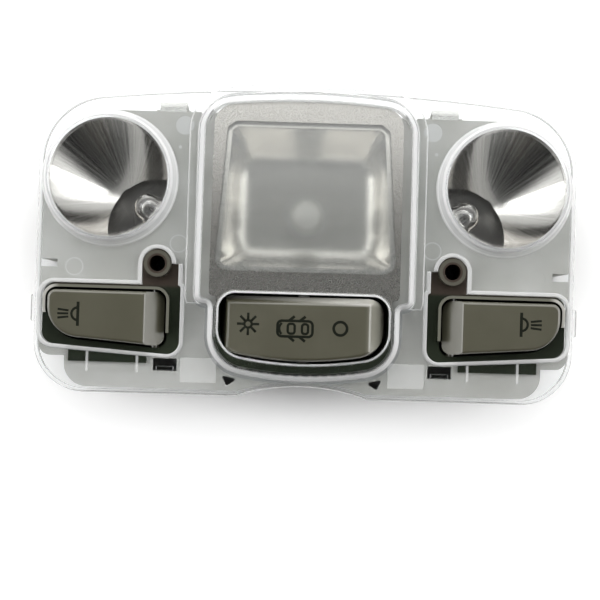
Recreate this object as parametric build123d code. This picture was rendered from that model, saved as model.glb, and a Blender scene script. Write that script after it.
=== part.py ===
from build123d import *
from math import cos, radians, sin, sqrt
import os

# Overhead dome and reading lamp of a car, lying face up. Millimetres.
# +X runs across the car, +Y towards the lamp's plain edge, +Z out of the lit face.
# The origin is the middle of the cover's outline, on the plane of the rear rim.

# Body: the deck and the rear housing share one outline
BODY_TOP = 45.0
BODY_BOTTOM = 52.6
BODY_WALL = 1.6
SHOULDER_Y = -42.0
SHOULDER_STEP = 9.0
SHOULDER_RADIUS = 4.0
FOOT_RADIUS = 8.0
DECK_RIM = 0.8
TOP_RIM = 0.8
EDGE_NOTCH_Y = -9.5
EDGE_NOTCH_DEPTH = 5.6
EDGE_NOTCH_WIDTH = 2.8

# Heights of the stack, counted from the rear rim
REAR_RECESS = 2.5
REAR_WALL = 2.0
HOUSING_DEPTH = 22.0
DECK_THICKNESS = 2.0
SEAT_FLANGE = 1.0
COVER_GAP = 0.3
COVER_THICKNESS = 2.0

# Clear cover
COVER_LIP_SIDE = 1.6
COVER_LIP_TOP = 9.5
COVER_LIP_BOTTOM = 1.9
COVER_TOP_RADIUS = 24.0
COVER_BOTTOM_RADIUS = 18.0
COVER_CROWN_RADIUS = 660.0
COVER_RIM_WALL = 1.2
COVER_RIM_DEPTH = 3.2
ARCH_SPAN = 46.0
ARCH_RISE = 3.9
RIM_GAP = 0.4
COVER_EDGE_RADIUS = 0.8
COLLAR_WALL = 1.4
COLLAR_HEIGHT = 1.6
COLLAR_EDGE_RADIUS = 0.5
SIDE_TAB_Y = -25.5
SIDE_TAB_LENGTH = 9.5
SIDE_TAB_DEPTH = 1.2
SIDE_TAB_HEIGHT = 3.0
EDGE_RIB_INSETS = (14.0, 31.5)
EDGE_RIB_WALL = 0.8
EDGE_RIB_HEIGHT = 0.9
EDGE_RIB_TOP = -38.0
EDGE_RIB_BOTTOM = -47.0
FOOT_PAD_INSET = 8.0
FOOT_PAD_WIDTH = 12.5
FOOT_PAD_TOP = -41.5
FOOT_PAD_BOTTOM = -50.0
FOOT_PAD_HEIGHT = 0.8
MARK_PLACES = ((5.7, 40.3), (6.7, -1.5), (43.2, -10.6))
MARK_RADIUS = 3.3
MARK_DEPTH = 0.2

# Snap hooks of the cover in slots of the deck
HOOK_OFFSET = 0.5
HOOK_RISE = 8.4
HOOK_WIDTH = 6.0
HOOK_THICKNESS = 1.4
HOOK_BARB = 1.0
HOOK_BARB_HEIGHT = 1.8
HOOK_FIT = 0.2
HOOK_SLOT_WIDTH = 8.4
HOOK_SLOT_HEIGHT = 4.4

# Round reading lenses, moulded in the cover
CUP_BASE_RADIUS = 24.0
CUP_TOP_RADIUS = 21.8
CUP_HEIGHT = 7.0
CUP_WALL = 2.0
CUP_EDGE_RADIUS = 3.0

# Centre shield: lens, mask and diffuser under one crowned surface
RIM_WIDTH = 2.8
SHIELD_STEP = 4.7
SHIELD_TOP = 51.8
SHIELD_STEP_Y = -22.5
SHIELD_CORNER_RADIUS = 12.0
SHIELD_TOP_RADIUS = 240.0
STEP_OUTER_SHARE = 0.7
STEP_INNER_SHARE = 0.25
CROWN_RADIUS = 400.0
CROWN_Y = -12.0
SHIELD_RISE = 11.0
LENS_WALL = 2.2
LENS_EDGE_RADIUS = 3.0
LENS_FLANGE_WIDTH = 1.4
LENS_GAP = 0.3
LENS_ROCKER_GAP = 0.8
LENS_BEAD_RADIUS = 1.2
RAIL_WALL = 3.4
RAIL_HEIGHT = 2.6
RAIL_EDGE_RADIUS = 0.8
MASK_GAP = 0.6
MASK_WALL = 1.3
MASK_SIDE = 5.0
MASK_CORNER_RADIUS = 7.0
MASK_ROCKER_GAP = 1.0
MASK_FOOT_Y = -33.0
MASK_SEAT_GAP = 0.2
WINDOW_TOP = 41.6
WINDOW_BOTTOM = -10.8
WINDOW_TOP_HALF = 25.6
WINDOW_SHOULDER_HALF = 28.4
WINDOW_SHOULDER_DROP = 2.4
WINDOW_BOTTOM_HALF = 31.6
WINDOW_TOP_RADIUS = 2.2
WINDOW_BOTTOM_RADIUS = 4.5
PANE_GAP = 0.25
PANE_FLANGE = 1.2
PANE_FLANGE_WIDTH = 1.2
PANE_BEAD = 0.35

# Centre reflector
REFLECTOR_WALL = 1.4
TRAY_FLOOR_WIDTH = 50.0
TRAY_FLOOR_HEIGHT = 37.0
TRAY_FLOOR_Y = 13.0
TRAY_FLOOR_Z = 8.0
TRAY_FLOOR_RADIUS = 9.0
TRAY_CURVE_RADIUS = 5.0
TRAY_INSET = 1.8
TRAY_FLANGE_WIDTH = 2.2

# Reading reflectors: a leaning funnel with an upright pocket for a bulb lying on its side
LAMP_GAP = 7.2
BOWL_INSET = 0.6
BOWL_DEPTH = 15.0
BOWL_NECK_RADIUS = 4.0
BOWL_NECK_OFFSET = 8.0
BOWL_BELLY = 1.6
BOWL_SHELL = 1.8
BOWL_FLANGE_WIDTH = 2.2
POCKET_RADIUS = 15.7
POCKET_OFFSET = 20.2
POCKET_ANGLE = 46.0
POCKET_FLOOR = 6.0
AIM_ANGLE = 36.0

# Wedge bulbs and their holders
BULB_RADIUS = 5.0
BULB_GLASS = 0.7
BULB_NECK_LENGTH = 10.5
BULB_BASE_WIDTH = 9.0
BULB_BASE_THICKNESS = 2.6
BULB_BASE_LENGTH = 6.0
BULB_EXHAUST_RADIUS = 0.9
WIRE_RADIUS = 0.25
FILAMENT_HALF_SPAN = 1.6
FILAMENT_HEIGHT = 9.0
HOLDER_NECK_RADIUS = 6.2
HOLDER_FLANGE_RADIUS = 7.6
HOLDER_FLANGE = 1.8
HOLDER_BODY_RADIUS = 6.5
HOLDER_REACH = 8.8
HOLDER_NECK_LENGTH = 3.0
HOLDER_BORE_RADIUS = 5.3
HOLDER_FLOOR = 2.5
HOLDER_FIT = 0.2
CENTRE_BULB_Y = 9.9
BLADE_WIDTH = 2.8
BLADE_THICKNESS = 0.6
BLADE_LENGTH = 2.6
BLADE_SPACING = 5.0

# Reading keys and the frames that carry them
KEY_OUTER_GAP = 3.6
KEY_LENGTH = 40.4
KEY_TOP = -18.9
KEY_OUTER_BOTTOM = -34.6
KEY_INNER_BOTTOM = -37.8
KEY_OUTER_RADIUS = 11.0
KEY_CORNER_RADIUS = 3.0
KEY_FACE_Z = 31.6
KEY_SKIRT_Z = 20.0
KEY_WALL = 1.8
KEY_EDGE_RADIUS = 1.1
KEY_SLOPE_LENGTH = 6.6
KEY_SLOPE_DROP = 5.6
KEY_CLEARANCE = 0.9
KEY_PIVOT_INSET = 3.4
KEY_PIVOT_Z = 22.5
KEY_PIN_RADIUS = 1.5
FRAME_WALL = 1.0
FRAME_FLOOR = 1.5
FRAME_FLOOR_Z = 7.0
FRAME_GUIDE_TOP = 29.6
FRAME_GUIDE_INNER_END = -33.0
FRAME_GUIDE_OUTER_END = -27.0
FRAME_FLANGE_WIDTH = 0.4
FRAME_SKIRT_BOTTOM = -43.8
FRAME_SKIRT_INSET = 7.0
FRAME_SKIRT_LENGTH = 27.5
PIVOT_CLEARANCE = 0.08
OPENING_INNER_GAP = 5.6
OPENING_OUTER_GAP = 2.6
OPENING_TOP_GAP = 2.5
OPENING_BOTTOM_GAP = 3.0
OPENING_RADIUS = 4.5
OPENING_TOP_RADIUS = 1.0

# Fixing sleeves for the two roof screws
SLEEVE_INSET = 2.9
SLEEVE_Y = -8.8
SLEEVE_RADIUS = 4.7
SLEEVE_BORE_RADIUS = 2.8
SLEEVE_TOP = 28.3
SLEEVE_RELIEF = 0.5
SLEEVE_TAB_HALF = 7.6

# Push switches under the reading keys
SWITCH_INSET = 12.2
SWITCH_LENGTH = 12.0
SWITCH_WIDTH = 8.0
SWITCH_HEIGHT = 6.5
PLUNGER_RADIUS = 2.0
PLUNGER_HEAD_RADIUS = 3.0
PLUNGER_HEAD = 1.0
PLUNGER_STROKE = 2.4
PLUNGER_SHAFT_DEPTH = 2.5
PLUNGER_FIT = 0.3
PLUNGER_GAP = 0.15
STEM_RADIUS = 2.6

# Three-position rocker for the dome lamp
ROCKER_HALF = 28.6
ROCKER_TOP = -19.2
ROCKER_BOTTOM = -41.5
ROCKER_ARC_RADIUS = 120.0
ROCKER_CORNER_RADIUS = 5.0
ROCKER_LOWER_RADIUS = 9.0
ROCKER_FACE_Z = 35.6
ROCKER_SKIRT_Z = 19.0
ROCKER_SLOPE_LENGTH = 3.6
ROCKER_SLOPE_DROP = 11.0
ROCKER_BROW_WIDTH = 2.0
ROCKER_BROW_DROP = 4.4
ROCKER_WALL = 1.8
ROCKER_EDGE_RADIUS = 1.4
ROCKER_PIVOT_Z = 21.5
ROCKER_PIN_RADIUS = 2.0
ROCKER_THROW_DEG = 7.5
ROCKER_CLEARANCE = 0.8
ROCKER_SWING_GAP = 1.3
ROCKER_RING_WALL = 0.7
BEZEL_SIDE = 1.9
BEZEL_BOTTOM = 2.3
ROCKER_FLANGE_WIDTH = 3.0
ROCKER_FLOOR = 1.5
ROCKER_FLOOR_Z = 8.0
ROCKER_FOOT_LENGTH = 9.5
ROCKER_FOOT_THICKNESS = 3.6
ROCKER_FOOT_WIDTH = 9.0
WIPER_THICKNESS = 0.5
RAIL_COUNT = 3
RAIL_PITCH = 3.0
RAIL_STRIP_WIDTH = 2.0
RAIL_STRIP_LENGTH = 16.0
WIPER_GAP = 0.2

# Posts of the deck and the screws that draw the housing to them
POST_RADIUS = 3.0
POST_HOLE_RADIUS = 1.6
POST_HOLE_DEPTH = 10.0
POST_UPPER_OFFSET = 11.2
POST_UPPER_Y = 38.6
POST_LOWER_OFFSET = 8.8
POST_LOWER_Y = -10.4
SCREW_RADIUS = 1.5
SCREW_LENGTH = 10.0
SCREW_HEAD_RADIUS = 3.0
SCREW_HEAD = 1.7
SCREW_SLOT_WIDTH = 0.8
SCREW_SLOT_DEPTH = 0.8

# Spring clips on the plain edge
CLIP_OFFSET = 10.4
CLIP_WIDTH = 9.5
CLIP_THICKNESS = 0.6
CLIP_REACH = 3.6
CLIP_FOOT_Z = 7.0
CLIP_TOP_Z = 20.0
CLIP_GUIDE = 1.2
CLIP_FIT = 0.1

# Latch tongues of the deck in windows of the housing
LATCH_UPPER_INSET = 2.0
LATCH_LOWER_INSET = 3.2
LATCH_WIDTH = 6.0
LATCH_THICKNESS = 1.4
LATCH_LENGTH = 8.0
LATCH_BARB = 1.2
LATCH_BARB_HEIGHT = 2.4
LATCH_FIT = 0.2

# Connector, bus strips and the ribs of the rear recess
CONNECTOR_OFFSET = 2.0
CONNECTOR_Y = 24.0
CONNECTOR_WIDTH = 9.6
CONNECTOR_LENGTH = 20.0
CONNECTOR_DEPTH = 12.0
CONNECTOR_WALL = 1.2
CONNECTOR_FLANGE = 1.4
CONNECTOR_SHY = 0.6
CONNECTOR_FIT = 0.15
PIN_COUNT = 4
PIN_PITCH = 4.0
PIN_SIZE = 1.2
PIN_LENGTH = 5.5
STRIP_WIDTH = 4.0
STRIP_THICKNESS = 0.8
STRIP_GAP = 1.5
STAKE_RADIUS = 1.0
STAKE_HEIGHT = 1.4
STAKE_FIT = 0.1
DECK_FIT = 0.2
DECK_GAP_CORNERS = ((28.4, -47.2), (22.6, -48.6), (26.4, -51.0))
DECK_GAP_RADIUS = 0.6
RIB_WALL = 1.2
RIB_INSET = 7.2
RIB_Y = -27.0

# Widths, heights and places worked out from the sizes above
BEZEL_HALF = ROCKER_HALF + BEZEL_SIDE
RIM_HALF = BEZEL_HALF + RIM_WIDTH
SHIELD_HALF = RIM_HALF + SHIELD_STEP
MASK_HALF = SHIELD_HALF - MASK_SIDE
MASK_INSET = LENS_WALL + MASK_GAP
MASK_STEP_Y = SHIELD_STEP_Y + MASK_INSET
BOWL_RADIUS = CUP_TOP_RADIUS - BOWL_INSET
LAMP_MARGIN = BOWL_RADIUS + REFLECTOR_WALL + DECK_FIT + DECK_RIM
LAMP_X = SHIELD_HALF + LAMP_GAP + CUP_BASE_RADIUS
LAMP_Y = BODY_TOP - LAMP_MARGIN - TOP_RIM
HALF_BODY = LAMP_X + LAMP_MARGIN
REAR_INNER = REAR_RECESS + REAR_WALL
BULB_AXIS_Z = (REAR_INNER + HOUSING_DEPTH) / 2
DECK_TOP = HOUSING_DEPTH + DECK_THICKNESS
FLANGE_TOP = DECK_TOP + SEAT_FLANGE
CROWN_HEIGHT = FLANGE_TOP + SHIELD_RISE
COVER_BACK = FLANGE_TOP + COVER_GAP
COVER_FRONT = COVER_BACK + COVER_THICKNESS
COVER_TOP = BODY_TOP + COVER_LIP_TOP
COVER_BOTTOM = BODY_BOTTOM + COVER_LIP_BOTTOM
BOWL_FLOOR = FLANGE_TOP - BOWL_DEPTH
KEY_OUTER = HALF_BODY - KEY_OUTER_GAP
KEY_INNER = KEY_OUTER - KEY_LENGTH
KEY_PIVOT_X = KEY_INNER + KEY_PIVOT_INSET
KEY_MIDDLE_Y = (KEY_TOP + KEY_OUTER_BOTTOM) / 2
SLEEVE_X = KEY_INNER + SLEEVE_INSET
HOOK_X = KEY_INNER - HOOK_OFFSET
HOOK_Y = HOOK_RISE - BODY_BOTTOM
SWITCH_X = KEY_OUTER - SWITCH_INSET
SWITCH_BASE = FRAME_FLOOR_Z + FRAME_FLOOR
SWITCH_TOP = SWITCH_BASE + SWITCH_HEIGHT
PLUNGER_TOP = SWITCH_TOP + PLUNGER_STROKE + PLUNGER_HEAD
ROCKER_MIDDLE_Y = (ROCKER_TOP + ROCKER_BOTTOM) / 2
FOOT_END = ROCKER_PIVOT_Z - ROCKER_FOOT_LENGTH
WIPER_HALF = ROCKER_FOOT_THICKNESS / 2 + WIPER_THICKNESS
WIPER_SWING = sqrt(WIPER_HALF**2 + (ROCKER_FOOT_LENGTH + WIPER_THICKNESS) ** 2)
CLIP_X = SHIELD_HALF + CLIP_OFFSET
CONNECTOR_X = -SHIELD_HALF - CONNECTOR_OFFSET
RIB_X = LAMP_X - RIB_INSET
BIG = 300.0


def rect(x0, x1, y0, y1):
    """Rectangle between two corners."""
    return Pos((x0 + x1) / 2, (y0 + y1) / 2) * Rectangle(x1 - x0, y1 - y0)


def rounded_polygon(corners):
    """Closed outline through (x, y, corner radius) points."""
    outline = make_face(Polyline(*[(x, y) for x, y, _ in corners], close=True))
    for x, y, radius in corners:
        outline = fillet(outline.vertices().sort_by_distance((x, y))[0], radius)
    return outline


def prism(outline, low, high):
    """Upright solid on a plan outline, between two heights."""
    return extrude(Pos(0, 0, low) * outline, amount=high - low, dir=(0, 0, 1))


def other_side(shape):
    """The same solid on the other side of the lamp."""
    return mirror(shape, about=Plane.YZ)


def both_sides(shape):
    """A right-hand solid together with its mirror image."""
    return shape + other_side(shape)


def crowned(depth):
    """Everything under the shield's crowned surface, set in by depth."""
    axis_z = CROWN_HEIGHT - CROWN_RADIUS
    return Pos(0, CROWN_Y, axis_z) * Rot(0, 90, 0) * Cylinder(CROWN_RADIUS - depth, BIG)


# Plan outlines

def arch(gap):
    """The shallow bay in the lower edge of the cover, or of what keeps a gap to it."""
    radius = ((ARCH_SPAN / 2) ** 2 + ARCH_RISE**2) / (2 * ARCH_RISE)
    return Pos(0, -COVER_BOTTOM + ARCH_RISE - radius) * Circle(radius + gap)


def body_outline(inset=0.0):
    """Outline of the deck and the housing, with round shoulders about the reading lamps."""
    upper = rect(-HALF_BODY, HALF_BODY, SHOULDER_Y, BODY_TOP)
    upper = fillet(upper.vertices().group_by(Axis.Y)[-1], LAMP_MARGIN)
    upper = fillet(upper.vertices().group_by(Axis.Y)[0], SHOULDER_RADIUS)
    foot = HALF_BODY - SHOULDER_STEP
    lower = rect(-foot, foot, -BODY_BOTTOM, SHOULDER_Y + SHOULDER_RADIUS)
    lower = fillet(lower.vertices().group_by(Axis.Y)[0], FOOT_RADIUS)
    outline = upper + lower - arch(COVER_RIM_WALL + RIM_GAP)
    for side in (-1, 1):
        outline -= Pos(side * HALF_BODY, EDGE_NOTCH_Y) * Rectangle(2 * EDGE_NOTCH_DEPTH, EDGE_NOTCH_WIDTH)
    if inset:
        outline = offset(outline, -inset, kind=Kind.INTERSECTION)
    return outline


def cover_outline(inset=0.0):
    """Outline of the cover: round corners, a crowned top edge and the bay below."""
    half = HALF_BODY + COVER_LIP_SIDE - inset
    outline = rect(-half, half, -COVER_BOTTOM + inset, COVER_TOP)
    crown = COVER_CROWN_RADIUS - inset
    outline = outline & Pos(0, COVER_TOP - COVER_CROWN_RADIUS) * Circle(crown)
    outline = fillet(outline.vertices().group_by(Axis.Y)[-1], COVER_TOP_RADIUS - inset)
    outline = fillet(outline.vertices().group_by(Axis.Y)[0], COVER_BOTTOM_RADIUS - inset)
    return outline - arch(inset)


def key_outline(grow=0.0):
    """Top view of the right-hand reading key."""
    outline = rounded_polygon([
        (KEY_INNER, KEY_TOP, KEY_CORNER_RADIUS),
        (KEY_OUTER, KEY_TOP, KEY_CORNER_RADIUS),
        (KEY_OUTER, KEY_OUTER_BOTTOM, KEY_OUTER_RADIUS),
        (KEY_INNER, KEY_INNER_BOTTOM, KEY_CORNER_RADIUS),
    ])
    return offset(outline, grow) if grow else outline


def key_opening(grow=0.0):
    """Opening of the cover round the right-hand key and its fixing sleeve."""
    inner = KEY_INNER - OPENING_INNER_GAP - grow
    outer = KEY_OUTER + OPENING_OUTER_GAP + grow
    top = KEY_TOP + OPENING_TOP_GAP + grow
    outline = rounded_polygon([
        (inner, top, grow + OPENING_TOP_RADIUS),
        (outer, top, grow + OPENING_RADIUS),
        (outer, KEY_OUTER_BOTTOM - OPENING_BOTTOM_GAP - grow, grow + OPENING_RADIUS),
        (inner, KEY_INNER_BOTTOM - OPENING_BOTTOM_GAP - grow, grow + OPENING_RADIUS),
    ])
    relief = SLEEVE_RADIUS + SLEEVE_RELIEF + grow
    tab = SLEEVE_TAB_HALF + grow
    outline += Pos(SLEEVE_X, SLEEVE_Y) * Circle(relief)
    return outline + rect(SLEEVE_X - tab, SLEEVE_X + relief, KEY_TOP, SLEEVE_Y)


def rocker_outline(grow=0.0):
    """Top view of the rocker, with its lower edge on a shallow arc."""
    outline = rect(-ROCKER_HALF, ROCKER_HALF, ROCKER_BOTTOM - ROCKER_ARC_RADIUS, ROCKER_TOP)
    outline = outline & Pos(0, ROCKER_BOTTOM + ROCKER_ARC_RADIUS) * Circle(ROCKER_ARC_RADIUS)
    outline = fillet(outline.vertices().group_by(Axis.Y)[-1], ROCKER_CORNER_RADIUS)
    outline = fillet(outline.vertices().group_by(Axis.Y)[0], ROCKER_LOWER_RADIUS)
    return offset(outline, grow) if grow else outline


def bezel_outline(grow=0.0):
    """Outline round the rocker with an even margin, deeper below than above."""
    margin = BEZEL_SIDE + grow
    bottom = ROCKER_BOTTOM - BEZEL_BOTTOM - margin
    radius = ROCKER_ARC_RADIUS + margin
    half = ROCKER_HALF + margin
    outline = rect(-half, half, bottom - radius, ROCKER_TOP + margin)
    outline = outline & Pos(0, bottom + radius) * Circle(radius)
    outline = fillet(outline.vertices().group_by(Axis.Y)[-1], ROCKER_CORNER_RADIUS + margin)
    return fillet(outline.vertices().group_by(Axis.Y)[0], ROCKER_LOWER_RADIUS + margin)


def upper_panel(half, bottom, top, corner):
    """Broad panel above the rocker, with a bowed top edge and round upper corners."""
    panel = rect(-half, half, bottom, top)
    panel = panel & Pos(0, top - SHIELD_TOP_RADIUS) * Circle(SHIELD_TOP_RADIUS)
    return fillet(panel.vertices().group_by(Axis.Y)[-1], corner)


def stepped(panel, lower, step_y):
    """Joins a broad panel to a narrower outline below it, with round step corners."""
    broad = panel.bounding_box().max.X
    narrow = lower.bounding_box().max.X
    outline = panel + lower + rect(-narrow, narrow, ROCKER_MIDDLE_Y, WINDOW_BOTTOM)
    for half, share in ((broad, STEP_OUTER_SHARE), (narrow, STEP_INNER_SHARE)):
        for x in (-half, half):
            corner = outline.vertices().sort_by_distance((x, step_y))[0]
            outline = fillet(corner, share * (broad - narrow))
    return outline


def shield_outline(grow=0.0):
    """Outline of the whole raised shield, stepped in to a rim round the rocker."""
    panel = upper_panel(SHIELD_HALF, SHIELD_STEP_Y, SHIELD_TOP, SHIELD_CORNER_RADIUS)
    outline = stepped(panel, bezel_outline(RIM_WIDTH), SHIELD_STEP_Y)
    return offset(outline, grow) if grow else outline


def upper_mask(inset=0.0):
    """Broad part of the mask, set in from the lens."""
    top = SHIELD_TOP - MASK_INSET - inset
    return upper_panel(MASK_HALF - inset, MASK_STEP_Y, top, MASK_CORNER_RADIUS - inset)


def window_outline(grow=0.0):
    """Frosted window: slightly wider below, with clipped upper corners."""
    shoulder = WINDOW_TOP - WINDOW_SHOULDER_DROP
    outline = rounded_polygon([
        (-WINDOW_TOP_HALF, WINDOW_TOP, WINDOW_TOP_RADIUS),
        (WINDOW_TOP_HALF, WINDOW_TOP, WINDOW_TOP_RADIUS),
        (WINDOW_SHOULDER_HALF, shoulder, WINDOW_TOP_RADIUS),
        (WINDOW_BOTTOM_HALF, WINDOW_BOTTOM, WINDOW_BOTTOM_RADIUS),
        (-WINDOW_BOTTOM_HALF, WINDOW_BOTTOM, WINDOW_BOTTOM_RADIUS),
        (-WINDOW_SHOULDER_HALF, shoulder, WINDOW_TOP_RADIUS),
    ])
    return offset(outline, grow) if grow else outline


# Clear cover and the shield in its middle

def lens_cup():
    """Solid and hollow of the right-hand reading lens."""
    slope = (CUP_BASE_RADIUS - CUP_TOP_RADIUS) / CUP_HEIGHT
    cup = Pos(LAMP_X, LAMP_Y, COVER_FRONT) * Cone(
        CUP_BASE_RADIUS, CUP_TOP_RADIUS, CUP_HEIGHT, align=(Align.CENTER, Align.CENTER, Align.MIN))
    cup = fillet(cup.edges().group_by(Axis.Z)[-1], CUP_EDGE_RADIUS)
    inner_base = CUP_BASE_RADIUS + slope * COVER_THICKNESS - CUP_WALL
    depth = COVER_THICKNESS + CUP_HEIGHT - CUP_WALL
    hollow = Pos(LAMP_X, LAMP_Y, COVER_BACK) * Cone(
        inner_base, inner_base - slope * depth, depth, align=(Align.CENTER, Align.CENTER, Align.MIN))
    return cup, hollow


def post_places():
    """Middles of the four posts of the deck, which take the housing screws."""
    upper = (SHIELD_HALF + POST_UPPER_OFFSET, POST_UPPER_Y)
    lower = (LAMP_X + POST_LOWER_OFFSET, POST_LOWER_Y)
    return [(side * x, y) for x, y in (upper, lower) for side in (-1, 1)]


def raised_ring(outline, opening, height, edge_radius):
    """Upstand on the cover's front between two outlines, with rounded top edges."""
    ring = prism(outline - opening, COVER_FRONT, COVER_FRONT + height)
    return fillet(ring.edges().group_by(Axis.Z)[-1], edge_radius)


def cover_details():
    """Right-hand ribs and foot pad on the cover's front."""
    inner = SHIELD_HALF - FOOT_PAD_INSET
    pad = rect(inner, inner + FOOT_PAD_WIDTH, FOOT_PAD_BOTTOM, FOOT_PAD_TOP)
    details = prism(pad, COVER_FRONT, COVER_FRONT + FOOT_PAD_HEIGHT)
    for inset in EDGE_RIB_INSETS:
        x = KEY_OUTER - inset
        rib = rect(x - EDGE_RIB_WALL / 2, x + EDGE_RIB_WALL / 2, EDGE_RIB_BOTTOM, EDGE_RIB_TOP)
        details += prism(rib, COVER_FRONT, COVER_FRONT + EDGE_RIB_HEIGHT)
    return details


def snap_hook():
    """Right-hand hook behind the cover: a tongue through the deck with a barb under it."""
    face = HOOK_Y - HOOK_SLOT_HEIGHT / 2 + HOOK_FIT
    barb_top = HOUSING_DEPTH - HOOK_FIT
    low = barb_top - HOOK_BARB_HEIGHT
    left, right = HOOK_X - HOOK_WIDTH / 2, HOOK_X + HOOK_WIDTH / 2
    tongue = prism(rect(left, right, face, face + HOOK_THICKNESS), low, COVER_BACK)
    return tongue + prism(rect(left, right, face - HOOK_BARB, face), low, barb_top)


def make_cover():
    """Clear front plate with rim, reading lenses, openings, collars and hooks."""
    plate = prism(cover_outline(), COVER_BACK, COVER_FRONT)
    plate = fillet(plate.faces().sort_by(Axis.Z)[-1].edges(), COVER_EDGE_RADIUS)
    rim = cover_outline() - cover_outline(COVER_RIM_WALL)
    plate += prism(rim, COVER_BACK - COVER_RIM_DEPTH, COVER_BACK)
    cup, hollow = lens_cup()
    plate += both_sides(cup)
    plate -= both_sides(hollow)
    plate += both_sides(cover_details())
    plate -= both_sides(prism(key_opening(), COVER_BACK, COVER_FRONT + EDGE_RIB_HEIGHT))
    collar = raised_ring(key_opening(COLLAR_WALL), key_opening(), COLLAR_HEIGHT, COLLAR_EDGE_RADIUS)
    plate += both_sides(collar)
    seat = shield_outline(LENS_GAP)
    plate -= prism(seat, COVER_BACK, COVER_FRONT + FOOT_PAD_HEIGHT)
    above = rect(-BIG, BIG, SHIELD_STEP_Y, BIG)
    rail = shield_outline(LENS_GAP + RAIL_WALL) & above
    plate += raised_ring(rail, seat, RAIL_HEIGHT, RAIL_EDGE_RADIUS)
    for x, y in MARK_PLACES:
        mark = prism(Circle(MARK_RADIUS), COVER_BACK, COVER_BACK + MARK_DEPTH)
        plate -= both_sides(Pos(SHIELD_HALF + x, y) * mark)
    plate += both_sides(snap_hook())
    tab_x = HALF_BODY + COVER_LIP_SIDE
    tab = rect(tab_x - COVER_RIM_WALL, tab_x + SIDE_TAB_DEPTH,
               SIDE_TAB_Y - SIDE_TAB_LENGTH / 2, SIDE_TAB_Y + SIDE_TAB_LENGTH / 2)
    tab = fillet(tab.vertices().group_by(Axis.X)[-1], SIDE_TAB_DEPTH / 2)
    tab_top = COVER_FRONT - COVER_EDGE_RADIUS
    return plate + both_sides(prism(tab, tab_top - SIDE_TAB_HEIGHT, tab_top))


def make_centre_lens():
    """Clear crowned shield with a seat flange, open below and pierced for the rocker."""
    lens = prism(shield_outline(), DECK_TOP, CROWN_HEIGHT) & crowned(0)
    lens = fillet(lens.faces().sort_by(Axis.Z)[-1].outer_wire().edges(), LENS_EDGE_RADIUS)
    lens += prism(shield_outline(LENS_FLANGE_WIDTH) & body_outline(), DECK_TOP, FLANGE_TOP)
    lens -= prism(shield_outline(-LENS_WALL), DECK_TOP, CROWN_HEIGHT) & crowned(LENS_WALL)
    lens -= prism(rocker_outline(LENS_ROCKER_GAP), DECK_TOP, CROWN_HEIGHT)
    crown = lens.faces().filter_by(GeomType.CYLINDER).sort_by(SortBy.AREA)[-1]
    return fillet(crown.inner_wires()[0].edges(), LENS_BEAD_RADIUS)


def make_centre_mask():
    """Silver bezel: a crowned panel with strips beside the rocker and walls on the deck."""
    outline = stepped(upper_mask(), bezel_outline(), MASK_STEP_Y) & rect(-BIG, BIG, MASK_FOOT_Y, BIG)
    mask = prism(outline, DECK_TOP, CROWN_HEIGHT) & crowned(MASK_INSET)
    below = upper_mask(MASK_WALL) + rect(-SHIELD_HALF, SHIELD_HALF, -BODY_BOTTOM, MASK_STEP_Y + MASK_WALL)
    mask -= prism(below, DECK_TOP, CROWN_HEIGHT) & crowned(MASK_INSET + MASK_WALL)
    mask -= prism(window_outline(), DECK_TOP, CROWN_HEIGHT)
    return mask - prism(rocker_outline(MASK_ROCKER_GAP), DECK_TOP, CROWN_HEIGHT)


def make_diffuser():
    """Frosted pane, held behind the mask by a flange inside the mask's walls."""
    behind = MASK_INSET + MASK_WALL
    pane = prism(window_outline(-PANE_GAP), DECK_TOP, CROWN_HEIGHT) & crowned(MASK_INSET - PANE_BEAD)
    flange = window_outline(PANE_FLANGE_WIDTH) & upper_mask(MASK_WALL + PANE_GAP)
    pane += prism(flange, DECK_TOP, CROWN_HEIGHT) & crowned(behind)
    return pane - crowned(behind + PANE_FLANGE)


# Reflectors

def make_centre_reflector():
    """Box reflector: a flared, dished tray under the window with a flange on the deck."""
    mouth = window_outline(-TRAY_INSET)
    floor = Pos(0, TRAY_FLOOR_Y) * RectangleRounded(TRAY_FLOOR_WIDTH, TRAY_FLOOR_HEIGHT, TRAY_FLOOR_RADIUS)
    under_pane = crowned(MASK_INSET + MASK_WALL + PANE_FLANGE + PANE_GAP)
    inside = loft([Pos(0, 0, TRAY_FLOOR_Z) * floor, Pos(0, 0, DECK_TOP) * mouth])
    inside = fillet(inside.edges().group_by(Axis.Z)[0], TRAY_CURVE_RADIUS)
    inside += prism(mouth, DECK_TOP, CROWN_HEIGHT)
    outside = loft([
        Pos(0, 0, TRAY_FLOOR_Z - REFLECTOR_WALL) * offset(floor, REFLECTOR_WALL),
        Pos(0, 0, DECK_TOP) * offset(mouth, REFLECTOR_WALL),
    ])
    outside += prism(offset(mouth, REFLECTOR_WALL), DECK_TOP, CROWN_HEIGHT) & under_pane
    flange = window_outline(TRAY_FLANGE_WIDTH) & upper_mask(MASK_WALL + PANE_GAP)
    outside += prism(flange, DECK_TOP, FLANGE_TOP)
    tray = outside - inside
    return tray - Pos(0, CENTRE_BULB_Y) * prism(Circle(HOLDER_NECK_RADIUS + HOLDER_FIT), 0, DECK_TOP)


def aim_location(distance):
    """Frame on the axis of the right-hand reading bulb, its Z pointing into the bowl."""
    dx = cos(radians(AIM_ANGLE))
    dy = sin(radians(AIM_ANGLE))
    origin = (LAMP_X - distance * dx, LAMP_Y - distance * dy, BULB_AXIS_Z)
    return Plane(origin=origin, x_dir=(0, 0, 1), z_dir=(dx, dy, 0)).location


def towards_pocket(distance):
    """Place on the plan, some way from the right-hand lamp's middle towards its pocket."""
    angle = radians(POCKET_ANGLE)
    return Pos(LAMP_X - distance * cos(angle), LAMP_Y - distance * sin(angle))


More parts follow.
